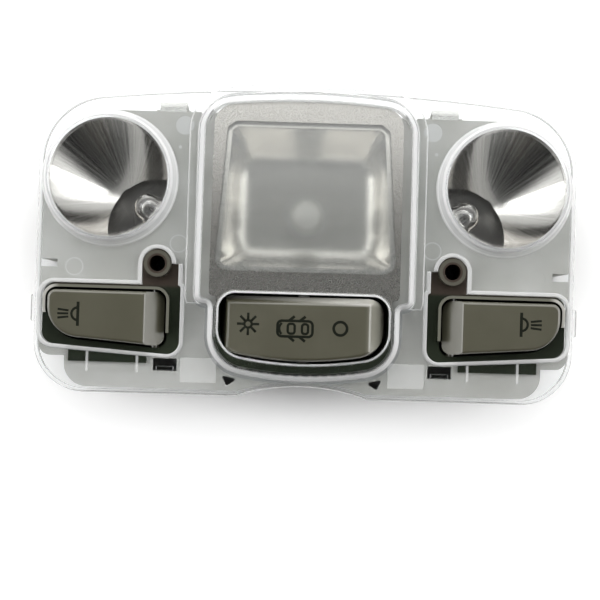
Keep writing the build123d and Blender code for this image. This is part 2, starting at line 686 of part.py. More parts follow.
def funnel():
    """Inside of the right-hand bowl: round rings that lean towards the pocket."""
    belly = (BOWL_RADIUS + BOWL_NECK_RADIUS) / 2 + BOWL_BELLY
    rings = (
        (BOWL_FLOOR, BOWL_NECK_RADIUS, BOWL_NECK_OFFSET),
        (FLANGE_TOP - BOWL_DEPTH / 2, belly, BOWL_NECK_OFFSET / 2),
        (FLANGE_TOP, BOWL_RADIUS, 0),
    )
    return loft([Pos(0, 0, z) * towards_pocket(lean) * Circle(radius) for z, radius, lean in rings])


def pocket_form(wall):
    """Upright bulb pocket of the right-hand bowl, swollen by a wall."""
    pocket = towards_pocket(POCKET_OFFSET) * Circle(POCKET_RADIUS + wall)
    pocket = pocket & Pos(LAMP_X, LAMP_Y) * Circle(BOWL_RADIUS + wall)
    return prism(pocket, POCKET_FLOOR - wall, FLANGE_TOP)


def make_reading_reflector():
    """Right-hand bowl with its pocket, the holder's port and a flange on the deck."""
    place = Pos(LAMP_X, LAMP_Y)
    bowl = Pos(0, 0, -BOWL_SHELL) * funnel() + pocket_form(REFLECTOR_WALL)
    bowl += place * prism(Circle(BOWL_RADIUS + REFLECTOR_WALL), FLANGE_TOP - BOWL_SHELL, FLANGE_TOP)
    bowl += place * prism(Circle(BOWL_RADIUS + BOWL_FLANGE_WIDTH), DECK_TOP, FLANGE_TOP)
    bowl -= funnel() + pocket_form(0)
    port = Cylinder(HOLDER_NECK_RADIUS + HOLDER_FIT, BOWL_RADIUS)
    return bowl - aim_location(BOWL_RADIUS) * port


# Bulbs and holders, drawn standing on the holder's seat: the bulb's base end is at Z = 0

def make_bulb():
    """Clear wedge bulb: hollow glass over a flat pinched base with an exhaust bore."""
    low = BULB_BASE_LENGTH
    upright = Align.CENTER, Align.CENTER, Align.MIN
    glass = Pos(0, 0, low) * Cylinder(BULB_RADIUS, BULB_NECK_LENGTH, align=upright)
    glass += Pos(0, 0, low + BULB_NECK_LENGTH) * Sphere(BULB_RADIUS)
    hollow = Pos(0, 0, low + BULB_GLASS) * Cylinder(
        BULB_RADIUS - BULB_GLASS, BULB_NECK_LENGTH - BULB_GLASS, align=upright)
    hollow += Pos(0, 0, low + BULB_NECK_LENGTH) * Sphere(BULB_RADIUS - BULB_GLASS)
    base = Box(BULB_BASE_WIDTH, BULB_BASE_THICKNESS, low, align=upright)
    bulb = glass - hollow + base
    return bulb - Cylinder(BULB_EXHAUST_RADIUS, 2 * (low + BULB_GLASS))


def make_filament():
    """Two support wires out of the exhaust bore, bridged by the filament."""
    foot = BULB_EXHAUST_RADIUS - 2 * WIRE_RADIUS
    base = BULB_BASE_LENGTH
    top = base + FILAMENT_HEIGHT
    fork = base + 2 * foot
    path = Polyline(
        (-foot, 0, 0), (-foot, 0, fork), (-FILAMENT_HALF_SPAN, 0, top),
        (FILAMENT_HALF_SPAN, 0, top), (foot, 0, fork), (foot, 0, 0))
    section = Plane(origin=(-foot, 0, 0), z_dir=(0, 0, 1)) * Rectangle(2 * WIRE_RADIUS, 2 * WIRE_RADIUS)
    return sweep(section, path=path, transition=Transition.RIGHT)


def make_holder(flange_low, neck_length):
    """Plug-in holder: grip body, stop flange and neck, bored for the bulb's base."""
    upright = Align.CENTER, Align.CENTER, Align.MIN
    neck_low = flange_low + HOLDER_FLANGE
    top = neck_low + neck_length
    holder = Pos(0, 0, flange_low) * Cylinder(HOLDER_FLANGE_RADIUS, HOLDER_FLANGE, align=upright)
    holder += Pos(0, 0, neck_low) * Cylinder(HOLDER_NECK_RADIUS, neck_length, align=upright)
    if flange_low > -HOLDER_FLOOR:
        body = Cylinder(HOLDER_BODY_RADIUS, flange_low + HOLDER_FLOOR, align=upright)
        holder += Pos(0, 0, -HOLDER_FLOOR) * body
    return holder - Cylinder(HOLDER_BORE_RADIUS, top, align=upright)


def blade_pair():
    """Two contact blades standing out of a holder's closed end."""
    blade = Pos(0, 0, -HOLDER_FLOOR) * Box(
        BLADE_THICKNESS, BLADE_WIDTH, BLADE_LENGTH, align=(Align.CENTER, Align.CENTER, Align.MAX))
    return [Pos(side * BLADE_SPACING / 2) * blade for side in (-1, 1)]


# Reading keys, their frames and switches

def along_y(x, z, radius, low, high):
    """Round bar lying along Y between two places."""
    return Pos(x, (low + high) / 2, z) * Rot(90, 0, 0) * Cylinder(radius, high - low)


def side_profile(points):
    """Everything across the lamp that has this outline when seen along Y."""
    return extrude(Plane.XZ * make_face(Polyline(*points, close=True)), BIG, both=True)


def end_profile(points):
    """Everything along the lamp that has this outline when seen along X."""
    return extrude(Plane.YZ * make_face(Polyline(*points, close=True)), BIG, both=True)


def make_reading_key():
    """Right-hand key: sloped inner end, hollow below, with pivot pins and a push stem."""
    key = prism(key_outline(), KEY_SKIRT_Z, KEY_FACE_Z) & side_profile([
        (KEY_INNER, KEY_SKIRT_Z),
        (KEY_OUTER, KEY_SKIRT_Z),
        (KEY_OUTER, KEY_FACE_Z),
        (KEY_INNER + KEY_SLOPE_LENGTH, KEY_FACE_Z),
        (KEY_INNER, KEY_FACE_Z - KEY_SLOPE_DROP),
    ])
    key = fillet(key.faces().sort_by(Axis.Z)[-1].edges(), KEY_EDGE_RADIUS)
    roof = KEY_FACE_Z - KEY_WALL
    solid_end = KEY_INNER + KEY_SLOPE_LENGTH + KEY_WALL
    inside = key_outline(-KEY_WALL) & rect(solid_end, KEY_OUTER, KEY_INNER_BOTTOM, KEY_TOP)
    key -= prism(inside, KEY_SKIRT_Z, roof)
    key += Pos(SWITCH_X, KEY_MIDDLE_Y) * prism(Circle(STEM_RADIUS), PLUNGER_TOP + PLUNGER_GAP, roof)
    reach = KEY_CLEARANCE + FRAME_WALL
    fall = (KEY_OUTER_BOTTOM - KEY_INNER_BOTTOM) * KEY_PIVOT_INSET / KEY_LENGTH
    low = KEY_INNER_BOTTOM + fall
    pins = along_y(KEY_PIVOT_X, KEY_PIVOT_Z, KEY_PIN_RADIUS, low - reach, KEY_TOP + reach)
    return key + pins


def make_switch_frame():
    """Right-hand frame: well, seat flange, guide wall round the key and fixing sleeve."""
    well = key_outline(KEY_CLEARANCE + FRAME_WALL)
    outer = KEY_OUTER - FRAME_SKIRT_INSET
    seat = key_opening(FRAME_FLANGE_WIDTH)
    seat += rect(outer - FRAME_SKIRT_LENGTH, outer, FRAME_SKIRT_BOTTOM, KEY_MIDDLE_Y)
    frame = prism(well, FRAME_FLOOR_Z, FLANGE_TOP)
    frame += prism(seat & body_outline(), DECK_TOP, FLANGE_TOP)
    guided = make_face(Polyline(
        (KEY_INNER - BIG, FRAME_GUIDE_INNER_END), (KEY_INNER, FRAME_GUIDE_INNER_END),
        (KEY_OUTER, FRAME_GUIDE_OUTER_END), (KEY_OUTER + BIG, FRAME_GUIDE_OUTER_END),
        (KEY_OUTER + BIG, BIG), (KEY_INNER - BIG, BIG), close=True))
    frame += prism(well & guided, FLANGE_TOP, FRAME_GUIDE_TOP)
    frame -= prism(key_outline(KEY_CLEARANCE), FRAME_FLOOR_Z + FRAME_FLOOR, FRAME_GUIDE_TOP)
    frame += Pos(SLEEVE_X, SLEEVE_Y) * prism(Circle(SLEEVE_RADIUS), REAR_INNER, SLEEVE_TOP)
    frame -= Pos(SLEEVE_X, SLEEVE_Y) * prism(Circle(SLEEVE_BORE_RADIUS), REAR_INNER, SLEEVE_TOP)
    return frame - along_y(KEY_PIVOT_X, KEY_PIVOT_Z, KEY_PIN_RADIUS + PIVOT_CLEARANCE, -BIG, KEY_TOP + BIG)


def make_push_switch():
    """Right-hand switch body with a blind bore for its plunger."""
    body = prism(Rectangle(SWITCH_LENGTH, SWITCH_WIDTH), SWITCH_BASE, SWITCH_TOP)
    depth = PLUNGER_SHAFT_DEPTH + PLUNGER_STROKE
    body -= prism(Circle(PLUNGER_RADIUS + PLUNGER_FIT), SWITCH_TOP - depth, SWITCH_TOP)
    return Pos(SWITCH_X, KEY_MIDDLE_Y) * body


def make_push_plunger():
    """Right-hand plunger: shaft in the switch and a flat head under the key's stem."""
    head = PLUNGER_TOP - PLUNGER_HEAD
    plunger = prism(Circle(PLUNGER_RADIUS), SWITCH_TOP - PLUNGER_SHAFT_DEPTH, head)
    plunger += prism(Circle(PLUNGER_HEAD_RADIUS), head, PLUNGER_TOP)
    return Pos(SWITCH_X, KEY_MIDDLE_Y) * plunger


# Rocker

def rocked(shape):
    """Turn a level rocker piece about its axle to the place for steady light, left end down."""
    return Pos(0, 0, ROCKER_PIVOT_Z) * Rot(0, -ROCKER_THROW_DEG, 0) * Pos(0, 0, -ROCKER_PIVOT_Z) * shape


def make_rocker_key():
    """Rocker: sloped ends and brow, hollow below, with an axle and a foot for the wiper."""
    crest = ROCKER_HALF - ROCKER_SLOPE_LENGTH
    foot_of_slope = ROCKER_FACE_Z - ROCKER_SLOPE_DROP
    key = prism(rocker_outline(), ROCKER_SKIRT_Z, ROCKER_FACE_Z) & side_profile([
        (-ROCKER_HALF, ROCKER_SKIRT_Z),
        (ROCKER_HALF, ROCKER_SKIRT_Z),
        (ROCKER_HALF, foot_of_slope),
        (crest, ROCKER_FACE_Z),
        (-crest, ROCKER_FACE_Z),
        (-ROCKER_HALF, foot_of_slope),
    ])
    key &= end_profile([
        (ROCKER_BOTTOM, ROCKER_SKIRT_Z),
        (ROCKER_TOP, ROCKER_SKIRT_Z),
        (ROCKER_TOP, ROCKER_FACE_Z - ROCKER_BROW_DROP),
        (ROCKER_TOP - ROCKER_BROW_WIDTH, ROCKER_FACE_Z),
        (ROCKER_BOTTOM, ROCKER_FACE_Z),
    ])
    key = fillet(key.faces().sort_by(Axis.Z)[-1].edges(), ROCKER_EDGE_RADIUS)
    roof = ROCKER_FACE_Z - ROCKER_WALL
    room = crest - ROCKER_WALL
    brow = ROCKER_TOP - ROCKER_BROW_WIDTH - ROCKER_WALL
    key -= prism(rocker_outline(-ROCKER_WALL) & rect(-room, room, -BIG, brow), ROCKER_SKIRT_Z, roof)
    foot = Pos(0, ROCKER_MIDDLE_Y) * Rectangle(ROCKER_FOOT_THICKNESS, ROCKER_FOOT_WIDTH)
    key += prism(foot, FOOT_END, roof)
    reach = ROCKER_CLEARANCE + ROCKER_RING_WALL
    key += along_y(0, ROCKER_PIVOT_Z, ROCKER_PIN_RADIUS, ROCKER_BOTTOM - reach, ROCKER_TOP + reach)
    return rocked(key)


def make_rocker_wiper():
    """Brass channel pressed over the end of the rocker's foot."""
    low = FOOT_END - WIPER_THICKNESS
    grip = FOOT_END + ROCKER_FOOT_THICKNESS
    width = ROCKER_FOOT_THICKNESS + 2 * WIPER_THICKNESS
    strip = prism(Rectangle(width, ROCKER_FOOT_WIDTH), low, grip)
    strip -= prism(Rectangle(ROCKER_FOOT_THICKNESS, ROCKER_FOOT_WIDTH), FOOT_END, grip)
    return rocked(Pos(0, ROCKER_MIDDLE_Y) * strip)


def make_contact_rails():
    """Fixed rails side by side on the floor of the rocker's well."""
    top = ROCKER_PIVOT_Z - WIPER_SWING - WIPER_GAP
    rail = prism(Rectangle(RAIL_STRIP_WIDTH, RAIL_STRIP_LENGTH), ROCKER_FLOOR_Z + ROCKER_FLOOR, top)
    first = -(RAIL_COUNT - 1) / 2 * RAIL_PITCH
    return [Pos(first + i * RAIL_PITCH, ROCKER_MIDDLE_Y) * rail for i in range(RAIL_COUNT)]


def make_rocker_frame():
    """Well of the rocker with a ledge under the mask and a tongue on the deck."""
    ring = ROCKER_CLEARANCE + ROCKER_RING_WALL
    frame = prism(rocker_outline(ring), ROCKER_FLOOR_Z, DECK_TOP)
    under_mask = crowned(MASK_INSET + MASK_WALL + MASK_SEAT_GAP)
    frame += prism(bezel_outline(), DECK_TOP, CROWN_HEIGHT) & under_mask
    half = ROCKER_HALF - ROCKER_CORNER_RADIUS
    tongue = ROCKER_TOP + ring + ROCKER_FLANGE_WIDTH
    frame += prism(rect(-half, half, ROCKER_TOP, tongue), DECK_TOP, FLANGE_TOP)
    frame -= prism(rocker_outline(ROCKER_CLEARANCE), ROCKER_FLOOR_Z + ROCKER_FLOOR, DECK_TOP)
    frame -= prism(rocker_outline(ROCKER_SWING_GAP), DECK_TOP, CROWN_HEIGHT)
    bore = ROCKER_PIN_RADIUS + PIVOT_CLEARANCE
    return frame - along_y(0, ROCKER_PIVOT_Z, bore, ROCKER_BOTTOM - BIG, tongue)


# Deck, housing and what is fixed to them

def latch_places():
    """Middle, wall and direction of each latch: two on the upper edge, two on the lower."""
    upper = (SHIELD_HALF - LATCH_UPPER_INSET, BODY_TOP, 1)
    lower = (LAMP_X - LATCH_LOWER_INSET, -BODY_BOTTOM, -1)
    return [(side * x, edge, out) for x, edge, out in (upper, lower) for side in (-1, 1)]


def latch_box(x, near, far, low, high, grow=0.0):
    """Block of a latch's width between two places along Y and two heights."""
    half = LATCH_WIDTH / 2 + grow
    return prism(rect(x - half, x + half, min(near, far), max(near, far)), low - grow, high + grow)


def make_deck():
    """Light grey carrier plate with openings for all that drops into it."""
    holes = rocker_outline(ROCKER_CLEARANCE + ROCKER_RING_WALL + DECK_FIT)
    holes += window_outline(REFLECTOR_WALL - TRAY_INSET + DECK_FIT)
    for side in (-1, 1):
        holes += Pos(side * LAMP_X, LAMP_Y) * Circle(BOWL_RADIUS + REFLECTOR_WALL + DECK_FIT)
        holes += Pos(side * SLEEVE_X, SLEEVE_Y) * Circle(SLEEVE_RADIUS + DECK_FIT)
        holes += Pos(side * HOOK_X, HOOK_Y) * Rectangle(HOOK_SLOT_WIDTH, HOOK_SLOT_HEIGHT)
        holes += rounded_polygon([(side * x, y, DECK_GAP_RADIUS) for x, y in DECK_GAP_CORNERS])
    deck = prism(body_outline(), HOUSING_DEPTH, DECK_TOP) - prism(holes, HOUSING_DEPTH, DECK_TOP)
    for x, y in post_places():
        deck += Pos(x, y) * prism(Circle(POST_RADIUS), REAR_INNER, HOUSING_DEPTH)
        deck -= Pos(x, y) * prism(Circle(POST_HOLE_RADIUS), REAR_INNER, REAR_INNER + POST_HOLE_DEPTH)
    well = prism(key_outline(KEY_CLEARANCE + FRAME_WALL + DECK_FIT), HOUSING_DEPTH, DECK_TOP)
    deck -= both_sides(well)
    low = HOUSING_DEPTH - LATCH_LENGTH
    for x, edge, out in latch_places():
        face = edge - out * (BODY_WALL + LATCH_FIT)
        deck += latch_box(x, face, face - out * LATCH_THICKNESS, low, HOUSING_DEPTH)
        deck += latch_box(x, face, face + out * LATCH_BARB, low, low + LATCH_BARB_HEIGHT)
    return deck


def strip_paths():
    """Centre lines of the two bus strips, from the connector to the centre holder."""
    start = CONNECTOR_X + CONNECTOR_WIDTH / 2 + STRIP_WIDTH
    clear = HOLDER_FLANGE_RADIUS + STRIP_GAP + STRIP_WIDTH / 2
    high = CONNECTOR_Y + CONNECTOR_LENGTH / 2
    low = CENTRE_BULB_Y
    supply = [(start, high), (0, high), (0, low + clear + STRIP_WIDTH / 2)]
    ground = [(start, high - 2 * STRIP_WIDTH), (-clear, high - 2 * STRIP_WIDTH), (-clear, low)]
    return supply, ground


def make_bus_strip(path):
    """Stamped strip on the rear wall, held by a stake at its corner."""
    outline = trace(Polyline(*path), STRIP_WIDTH)
    outline -= Pos(*path[1]) * Circle(STAKE_RADIUS + STAKE_FIT)
    return prism(outline, REAR_RECESS - STRIP_THICKNESS, REAR_RECESS)


def make_rear_housing():
    """Open tray with a recessed, ribbed rear wall, stakes and guides for the clips."""
    inner = body_outline(BODY_WALL)
    tray = prism(body_outline(), 0, HOUSING_DEPTH)
    tray -= prism(inner, REAR_INNER, HOUSING_DEPTH)
    tray -= prism(inner, 0, REAR_RECESS)
    ribs = rect(-RIB_X, RIB_X, RIB_Y - RIB_WALL / 2, RIB_Y + RIB_WALL / 2)
    for side in (-1, 1):
        ribs += Pos(side * RIB_X) * Rectangle(RIB_WALL, BIG)
    tray += prism(ribs & inner, 0, REAR_RECESS)
    for path in strip_paths():
        tray += Pos(*path[1]) * prism(Circle(STAKE_RADIUS), REAR_RECESS - STAKE_HEIGHT, REAR_RECESS)
    holes = Pos(0, CENTRE_BULB_Y) * Circle(HOLDER_NECK_RADIUS + HOLDER_FIT)
    holes += Pos(CONNECTOR_X, CONNECTOR_Y) * Rectangle(
        CONNECTOR_WIDTH + 2 * CONNECTOR_FIT, CONNECTOR_LENGTH + 2 * CONNECTOR_FIT)
    for x, y in post_places():
        holes += Pos(x, y) * Circle(POST_HOLE_RADIUS)
    for side in (-1, 1):
        holes += Pos(side * SLEEVE_X, SLEEVE_Y) * Circle(SLEEVE_BORE_RADIUS)
    tray -= prism(holes, REAR_RECESS, REAR_INNER)
    low = HOUSING_DEPTH - LATCH_LENGTH
    for x, edge, out in latch_places():
        tray -= latch_box(x, edge, edge - out * BODY_WALL, low, low + LATCH_BARB_HEIGHT, LATCH_FIT)
    edge = CLIP_WIDTH / 2 + CLIP_FIT
    guides = rect(edge, edge + CLIP_GUIDE, BODY_TOP, BODY_TOP + CLIP_GUIDE)
    guides += rect(-edge - CLIP_GUIDE, -edge, BODY_TOP, BODY_TOP + CLIP_GUIDE)
    return tray + both_sides(Pos(CLIP_X) * prism(guides, CLIP_FOOT_Z, CLIP_TOP_Z - CLIP_GUIDE))


def make_retaining_clip():
    """Right-hand spring clip: a folded strip with its barb standing off the edge."""
    wall = BODY_TOP + CLIP_THICKNESS / 2
    line = Polyline(
        (wall, CLIP_FOOT_Z), (wall, CLIP_TOP_Z), (wall + CLIP_REACH, CLIP_TOP_Z - CLIP_REACH / 2),
        (wall + CLIP_REACH / 2, CLIP_FOOT_Z))
    strip = extrude(Plane.YZ * trace(line, CLIP_THICKNESS), CLIP_WIDTH / 2, both=True)
    return Pos(CLIP_X) * strip


def make_connector():
    """Socket let into the rear wall, open to the back, with a flange inside."""
    place = Pos(CONNECTOR_X, CONNECTOR_Y)
    high = CONNECTOR_SHY + CONNECTOR_DEPTH
    outer = Rectangle(CONNECTOR_WIDTH, CONNECTOR_LENGTH)
    socket = prism(outer, CONNECTOR_SHY, high)
    socket += prism(offset(outer, CONNECTOR_FLANGE), REAR_INNER, REAR_INNER + CONNECTOR_FLANGE)
    inner = Rectangle(CONNECTOR_WIDTH - 2 * CONNECTOR_WALL, CONNECTOR_LENGTH - 2 * CONNECTOR_WALL)
    socket -= prism(inner, CONNECTOR_SHY, high - CONNECTOR_WALL)
    return place * socket


def make_connector_pins():
    """Square pins in a row under the socket's roof."""
    roof = CONNECTOR_SHY + CONNECTOR_DEPTH - CONNECTOR_WALL
    pin = prism(Rectangle(PIN_SIZE, PIN_SIZE), roof - PIN_LENGTH, roof)
    first = CONNECTOR_Y - (PIN_COUNT - 1) / 2 * PIN_PITCH
    return [Pos(CONNECTOR_X, first + i * PIN_PITCH) * pin for i in range(PIN_COUNT)]


def make_housing_screws():
    """Slotted screws from the rear recess into the deck's posts."""
    low = REAR_RECESS - SCREW_HEAD
    screw = prism(Circle(SCREW_HEAD_RADIUS), low, REAR_RECESS)
    screw += prism(Circle(SCREW_RADIUS), REAR_RECESS, REAR_RECESS + SCREW_LENGTH)
    screw -= prism(Rectangle(2 * SCREW_HEAD_RADIUS, SCREW_SLOT_WIDTH), low, low + SCREW_SLOT_DEPTH)
    return [Pos(x, y) * screw for x, y in post_places()]


# Assembly

def on_reading_axis(shape, distance):
    """Place a piece drawn upright on the right-hand reading bulb's axis."""
    return aim_location(distance) * shape


def main():
    holder_seat = BOWL_RADIUS + REFLECTOR_WALL + HOLDER_REACH
    reading_holder = make_holder(HOLDER_REACH - HOLDER_FLANGE, HOLDER_NECK_LENGTH)
    centre_base = REAR_RECESS + HOLDER_FLOOR - HOLDER_FLANGE
    centre_place = Pos(0, CENTRE_BULB_Y, centre_base)
    centre_neck = TRAY_FLOOR_Z + HOLDER_NECK_LENGTH - REAR_RECESS
    right = {
        "reading_reflector": make_reading_reflector(),
        "reading_bulb": on_reading_axis(make_bulb(), holder_seat),
        "reading_filament": on_reading_axis(make_filament(), holder_seat),
        "reading_holder": on_reading_axis(reading_holder, holder_seat),
        "switch_frame": make_switch_frame(),
        "reading_key": make_reading_key(),
        "push_switch": make_push_switch(),
        "push_plunger": make_push_plunger(),
        "retaining_clip": make_retaining_clip(),
    }
    blades = [on_reading_axis(blade, holder_seat) for blade in blade_pair()]
    supply, ground = strip_paths()
    nodes = {
        "cover": make_cover(),
        "centre_lens": make_centre_lens(),
        "centre_mask": make_centre_mask(),
        "diffuser": make_diffuser(),
        "centre_reflector": make_centre_reflector(),
        "centre_bulb": centre_place * make_bulb(),
        "centre_filament": centre_place * make_filament(),
        "centre_holder": centre_place * make_holder(-HOLDER_FLOOR, centre_neck),
        "holder_blades": Compound(children=blades + [other_side(blade) for blade in blades]),
        "rocker_frame": make_rocker_frame(),
        "rocker_key": make_rocker_key(),
        "rocker_wiper": make_rocker_wiper(),
        "contact_rails": Compound(children=make_contact_rails()),
        "deck": make_deck(),
        "rear_housing": make_rear_housing(),
        "connector": make_connector(),
        "connector_pins": Compound(children=make_connector_pins()),
        "bus_strip_supply": make_bus_strip(supply),
        "bus_strip_return": make_bus_strip(ground),
        "housing_screws": Compound(children=make_housing_screws()),
    }
    for name, shape in right.items():
        nodes[name + "_right"] = shape
        nodes[name + "_left"] = other_side(shape)
    os.makedirs("parts", exist_ok=True)
    for name, shape in nodes.items():
        export_step(shape, f"parts/{name}.step")


main()
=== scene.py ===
# %% [markdown]
# # The dome and reading lamp of a car
#
# This lamp sits in a car's roof, between the sun visors. A clear cover carries two round
# reading lenses, a frosted dome window in the middle, and three switches below. The packed
# CAD model is the fixed frame: every solid is already in its place, in metres, and this
# lesson gives the solids their finishes, adds the printed symbols, and sets up the light and
# the camera.

# %% Load the frame
import math

import bpy
from mathutils import Euler, Matrix, Vector


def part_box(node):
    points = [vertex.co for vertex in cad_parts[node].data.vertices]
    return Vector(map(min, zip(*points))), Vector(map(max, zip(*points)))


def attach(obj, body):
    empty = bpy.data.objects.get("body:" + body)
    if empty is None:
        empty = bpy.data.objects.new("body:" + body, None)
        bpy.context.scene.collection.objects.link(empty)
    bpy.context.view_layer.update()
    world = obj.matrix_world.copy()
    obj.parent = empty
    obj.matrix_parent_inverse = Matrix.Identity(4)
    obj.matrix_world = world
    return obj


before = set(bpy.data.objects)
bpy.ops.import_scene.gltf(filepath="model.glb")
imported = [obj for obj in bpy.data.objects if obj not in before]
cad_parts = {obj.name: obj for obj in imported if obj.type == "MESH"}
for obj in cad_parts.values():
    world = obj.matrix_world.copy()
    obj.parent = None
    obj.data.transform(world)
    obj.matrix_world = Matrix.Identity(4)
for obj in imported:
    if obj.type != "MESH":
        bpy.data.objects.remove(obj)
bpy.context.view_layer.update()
scene = bpy.context.scene
MM = 0.001

# %% [markdown]
# ## Helpers for finishes
#
# Each finish is one Principled shader with a few texture nodes in front of it. The helpers
# below keep a finish to a handful of lines: one makes the material, one adds a node and
# fills in its sockets, and one hangs a fine grain on the surface as bump. All patterns read
# Object coordinates, which are metres here, so a scale of 4000 means grains of a quarter
# of a millimetre.

# %% Node helpers
GRAIN_DEPTH = 0.05 * MM


def new_finish(name, **sockets):
    """A material with one Principled shader whose sockets are set by name."""
    finish = bpy.data.materials.new(name)
    finish.use_nodes = True
    shader = finish.node_tree.nodes["Principled BSDF"]
    for socket, value in sockets.items():
        shader.inputs[socket.replace("_", " ")].default_value = value
    return finish


def shader_of(finish):
    """The Principled shader of a finish."""
    return finish.node_tree.nodes["Principled BSDF"]


def add_node(tree, kind, **values):
    """Adds a shader node, setting properties or input sockets by name."""
    node = tree.nodes.new("ShaderNode" + kind)
    for key, value in values.items():
        if hasattr(node, key):
            setattr(node, key, value)
        else:
            node.inputs[key.replace("_", " ")].default_value = value
    return node


def object_place(tree, scale=(1.0, 1.0, 1.0), shift=(0.0, 0.0, 0.0)):
    """Object coordinates in metres, stretched and moved by a Mapping node."""
    place = add_node(tree, "TexCoord")
    mapping = add_node(tree, "Mapping", Scale=scale, Location=shift)
    tree.links.new(place.outputs["Object"], mapping.inputs["Vector"])
    return mapping.outputs["Vector"]


def axes(tree):
    """Object coordinates as three separate outputs, by the names X, Y and Z."""
    split = add_node(tree, "SeparateXYZ")
    tree.links.new(object_place(tree), split.inputs["Vector"])
    return split.outputs


def noise(tree, scale, detail=2.0, stretch=(1.0, 1.0, 1.0)):
    """The height of a noise pattern, with grains one over scale metres across."""
    grain = add_node(tree, "TexNoise", Scale=scale, Detail=detail)
    tree.links.new(object_place(tree, stretch), grain.inputs["Vector"])
    return grain.outputs["Fac"]


def ramp(tree, source, low, high, low_value, high_value):
    """Maps a pattern's range onto a range of plain values, softly."""
    steps = add_node(
        tree, "MapRange", interpolation_type="SMOOTHSTEP",
        From_Min=low, From_Max=high, To_Min=low_value, To_Max=high_value)
    tree.links.new(source, steps.inputs["Value"])
    return steps.outputs["Result"]


def combine(tree, operation, first, second):
    """One Math node between two sockets, or a socket and a number."""
    step = add_node(tree, "Math", operation=operation)
    for slot, value in enumerate((first, second)):
        if isinstance(value, float):
            step.inputs[slot].default_value = value
        else:
            tree.links.new(value, step.inputs[slot])
    return step.outputs["Value"]


def blend_colours(tree, source, low_colour, high_colour):
    """Mixes two colours by a pattern between 0 and 1."""
    mix = add_node(tree, "Mix", data_type="RGBA")
    tree.links.new(source, mix.inputs["Factor"])
    mix.inputs["A"].default_value = (*low_colour, 1.0)
    mix.inputs["B"].default_value = (*high_colour, 1.0)
    return mix.outputs["Result"]


def hang(finish, source, socket):
    """Feeds a pattern to one of the shader's sockets."""
    finish.node_tree.links.new(source, shader_of(finish).inputs[socket])


def grain_bump(finish, height, strength, depth=GRAIN_DEPTH):
    """Hangs a height pattern on the surface as bump, depth metres deep."""
    bump = add_node(finish.node_tree, "Bump", Strength=strength, Distance=depth)
    finish.node_tree.links.new(height, bump.inputs["Height"])
    hang(finish, bump.outputs["Normal"], "Normal")


print("finish helpers ready")

# %% [markdown]
# ## Clear and frosted plastics
#
# The cover and the dome's shield are injection-moulded in clear polycarbonate, and the pane
# behind the shield has a spark-eroded, frosted face. A real refracting shader bends what is
# seen through the walls and lights up their edges. A refracting wall also stops the rays
# that are sent to the lamps, which would leave the reflectors in the dark, so those rays
# are let through by a Transparent shader. Moulded edges gather light from the whole sheet
# and glow white, which a path tracer finds only with many bounces: the lean of the surface
# stands in for that and turns rounded edges milky, and upright walls less so. Narrow
# upstands, such as the collars of the keys, glow all over, so a band of heights does too.

# %% Clear finishes
def let_lamps_through(finish, passed, surface):
    """Rays from lamps go straight through a clear finish, dimmed to the colour passed."""
    tree = finish.node_tree
    path = add_node(tree, "LightPath")
    clear = add_node(tree, "BsdfTransparent", Color=(*passed, 1.0))
    mix = add_node(tree, "MixShader")
    tree.links.new(path.outputs["Is Shadow Ray"], mix.inputs["Fac"])
    tree.links.new(surface, mix.inputs[1])
    tree.links.new(clear.outputs["BSDF"], mix.inputs[2])
    tree.links.new(mix.outputs["Shader"], tree.nodes["Material Output"].inputs["Surface"])


def height_band(tree, low, high, soft):
    """One between two heights in millimetres, and zero beyond a soft edge."""
    height = axes(tree)["Z"]
    above = ramp(tree, height, (low - soft) * MM, low * MM, 0.0, 1.0)
    below = ramp(tree, height, high * MM, (high + soft) * MM, 1.0, 0.0)
    return combine(tree, "MULTIPLY", above, below)


def painted_edge_glow(finish, edge, strength, upstands):
    """The finish with a painted white glow on rounded edges and on a pattern of upstands."""
    tree = finish.node_tree
    normal = add_node(tree, "SeparateXYZ")
    tree.links.new(add_node(tree, "NewGeometry").outputs["Normal"], normal.inputs["Vector"])
    lean = combine(tree, "SUBTRACT", 1.0, combine(tree, "ABSOLUTE", normal.outputs["Z"], 0.0))
    rounded = ramp(tree, lean, *edge, 0.0, strength)
    upright = ramp(tree, lean, 0.5, 0.8, 1.0, 0.5)
    edges = combine(tree, "MULTIPLY", rounded, upright)
    glow = add_node(tree, "BsdfDiffuse", Color=(0.95, 0.95, 0.95, 1.0))
    mix = add_node(tree, "MixShader")
    tree.links.new(combine(tree, "MAXIMUM", edges, upstands), mix.inputs["Fac"])
    tree.links.new(shader_of(finish).outputs["BSDF"], mix.inputs[1])
    tree.links.new(glow.outputs["BSDF"], mix.inputs[2])
    return mix.outputs["Shader"]


def clear_moulding(name, edge, strength, band, band_strength):
    """Clear polycarbonate with a faint haze, and a painted white glow on its rounded edges and on a band
    of heights.
    """
    finish = new_finish(name, Base_Color=(0.97, 0.98, 0.98, 1.0), Transmission_Weight=1.0, IOR=1.5)
    tree = finish.node_tree
    hang(finish, ramp(tree, noise(tree, 90.0, 4.0), 0.3, 0.75, 0.015, 0.05), "Roughness")
    upstands = combine(tree, "MULTIPLY", height_band(tree, *band, 0.4), band_strength)
    let_lamps_through(finish, (0.92, 0.93, 0.93), painted_edge_glow(finish, edge, strength, upstands))
    return finish


clear_plastic = clear_moulding("clear_plastic", (0.05, 0.35), 0.62, (28.3, 28.95), 0.5)
shield_plastic = clear_moulding("shield_plastic", (0.015, 0.16), 0.7, (24.0, 25.2), 0.3)


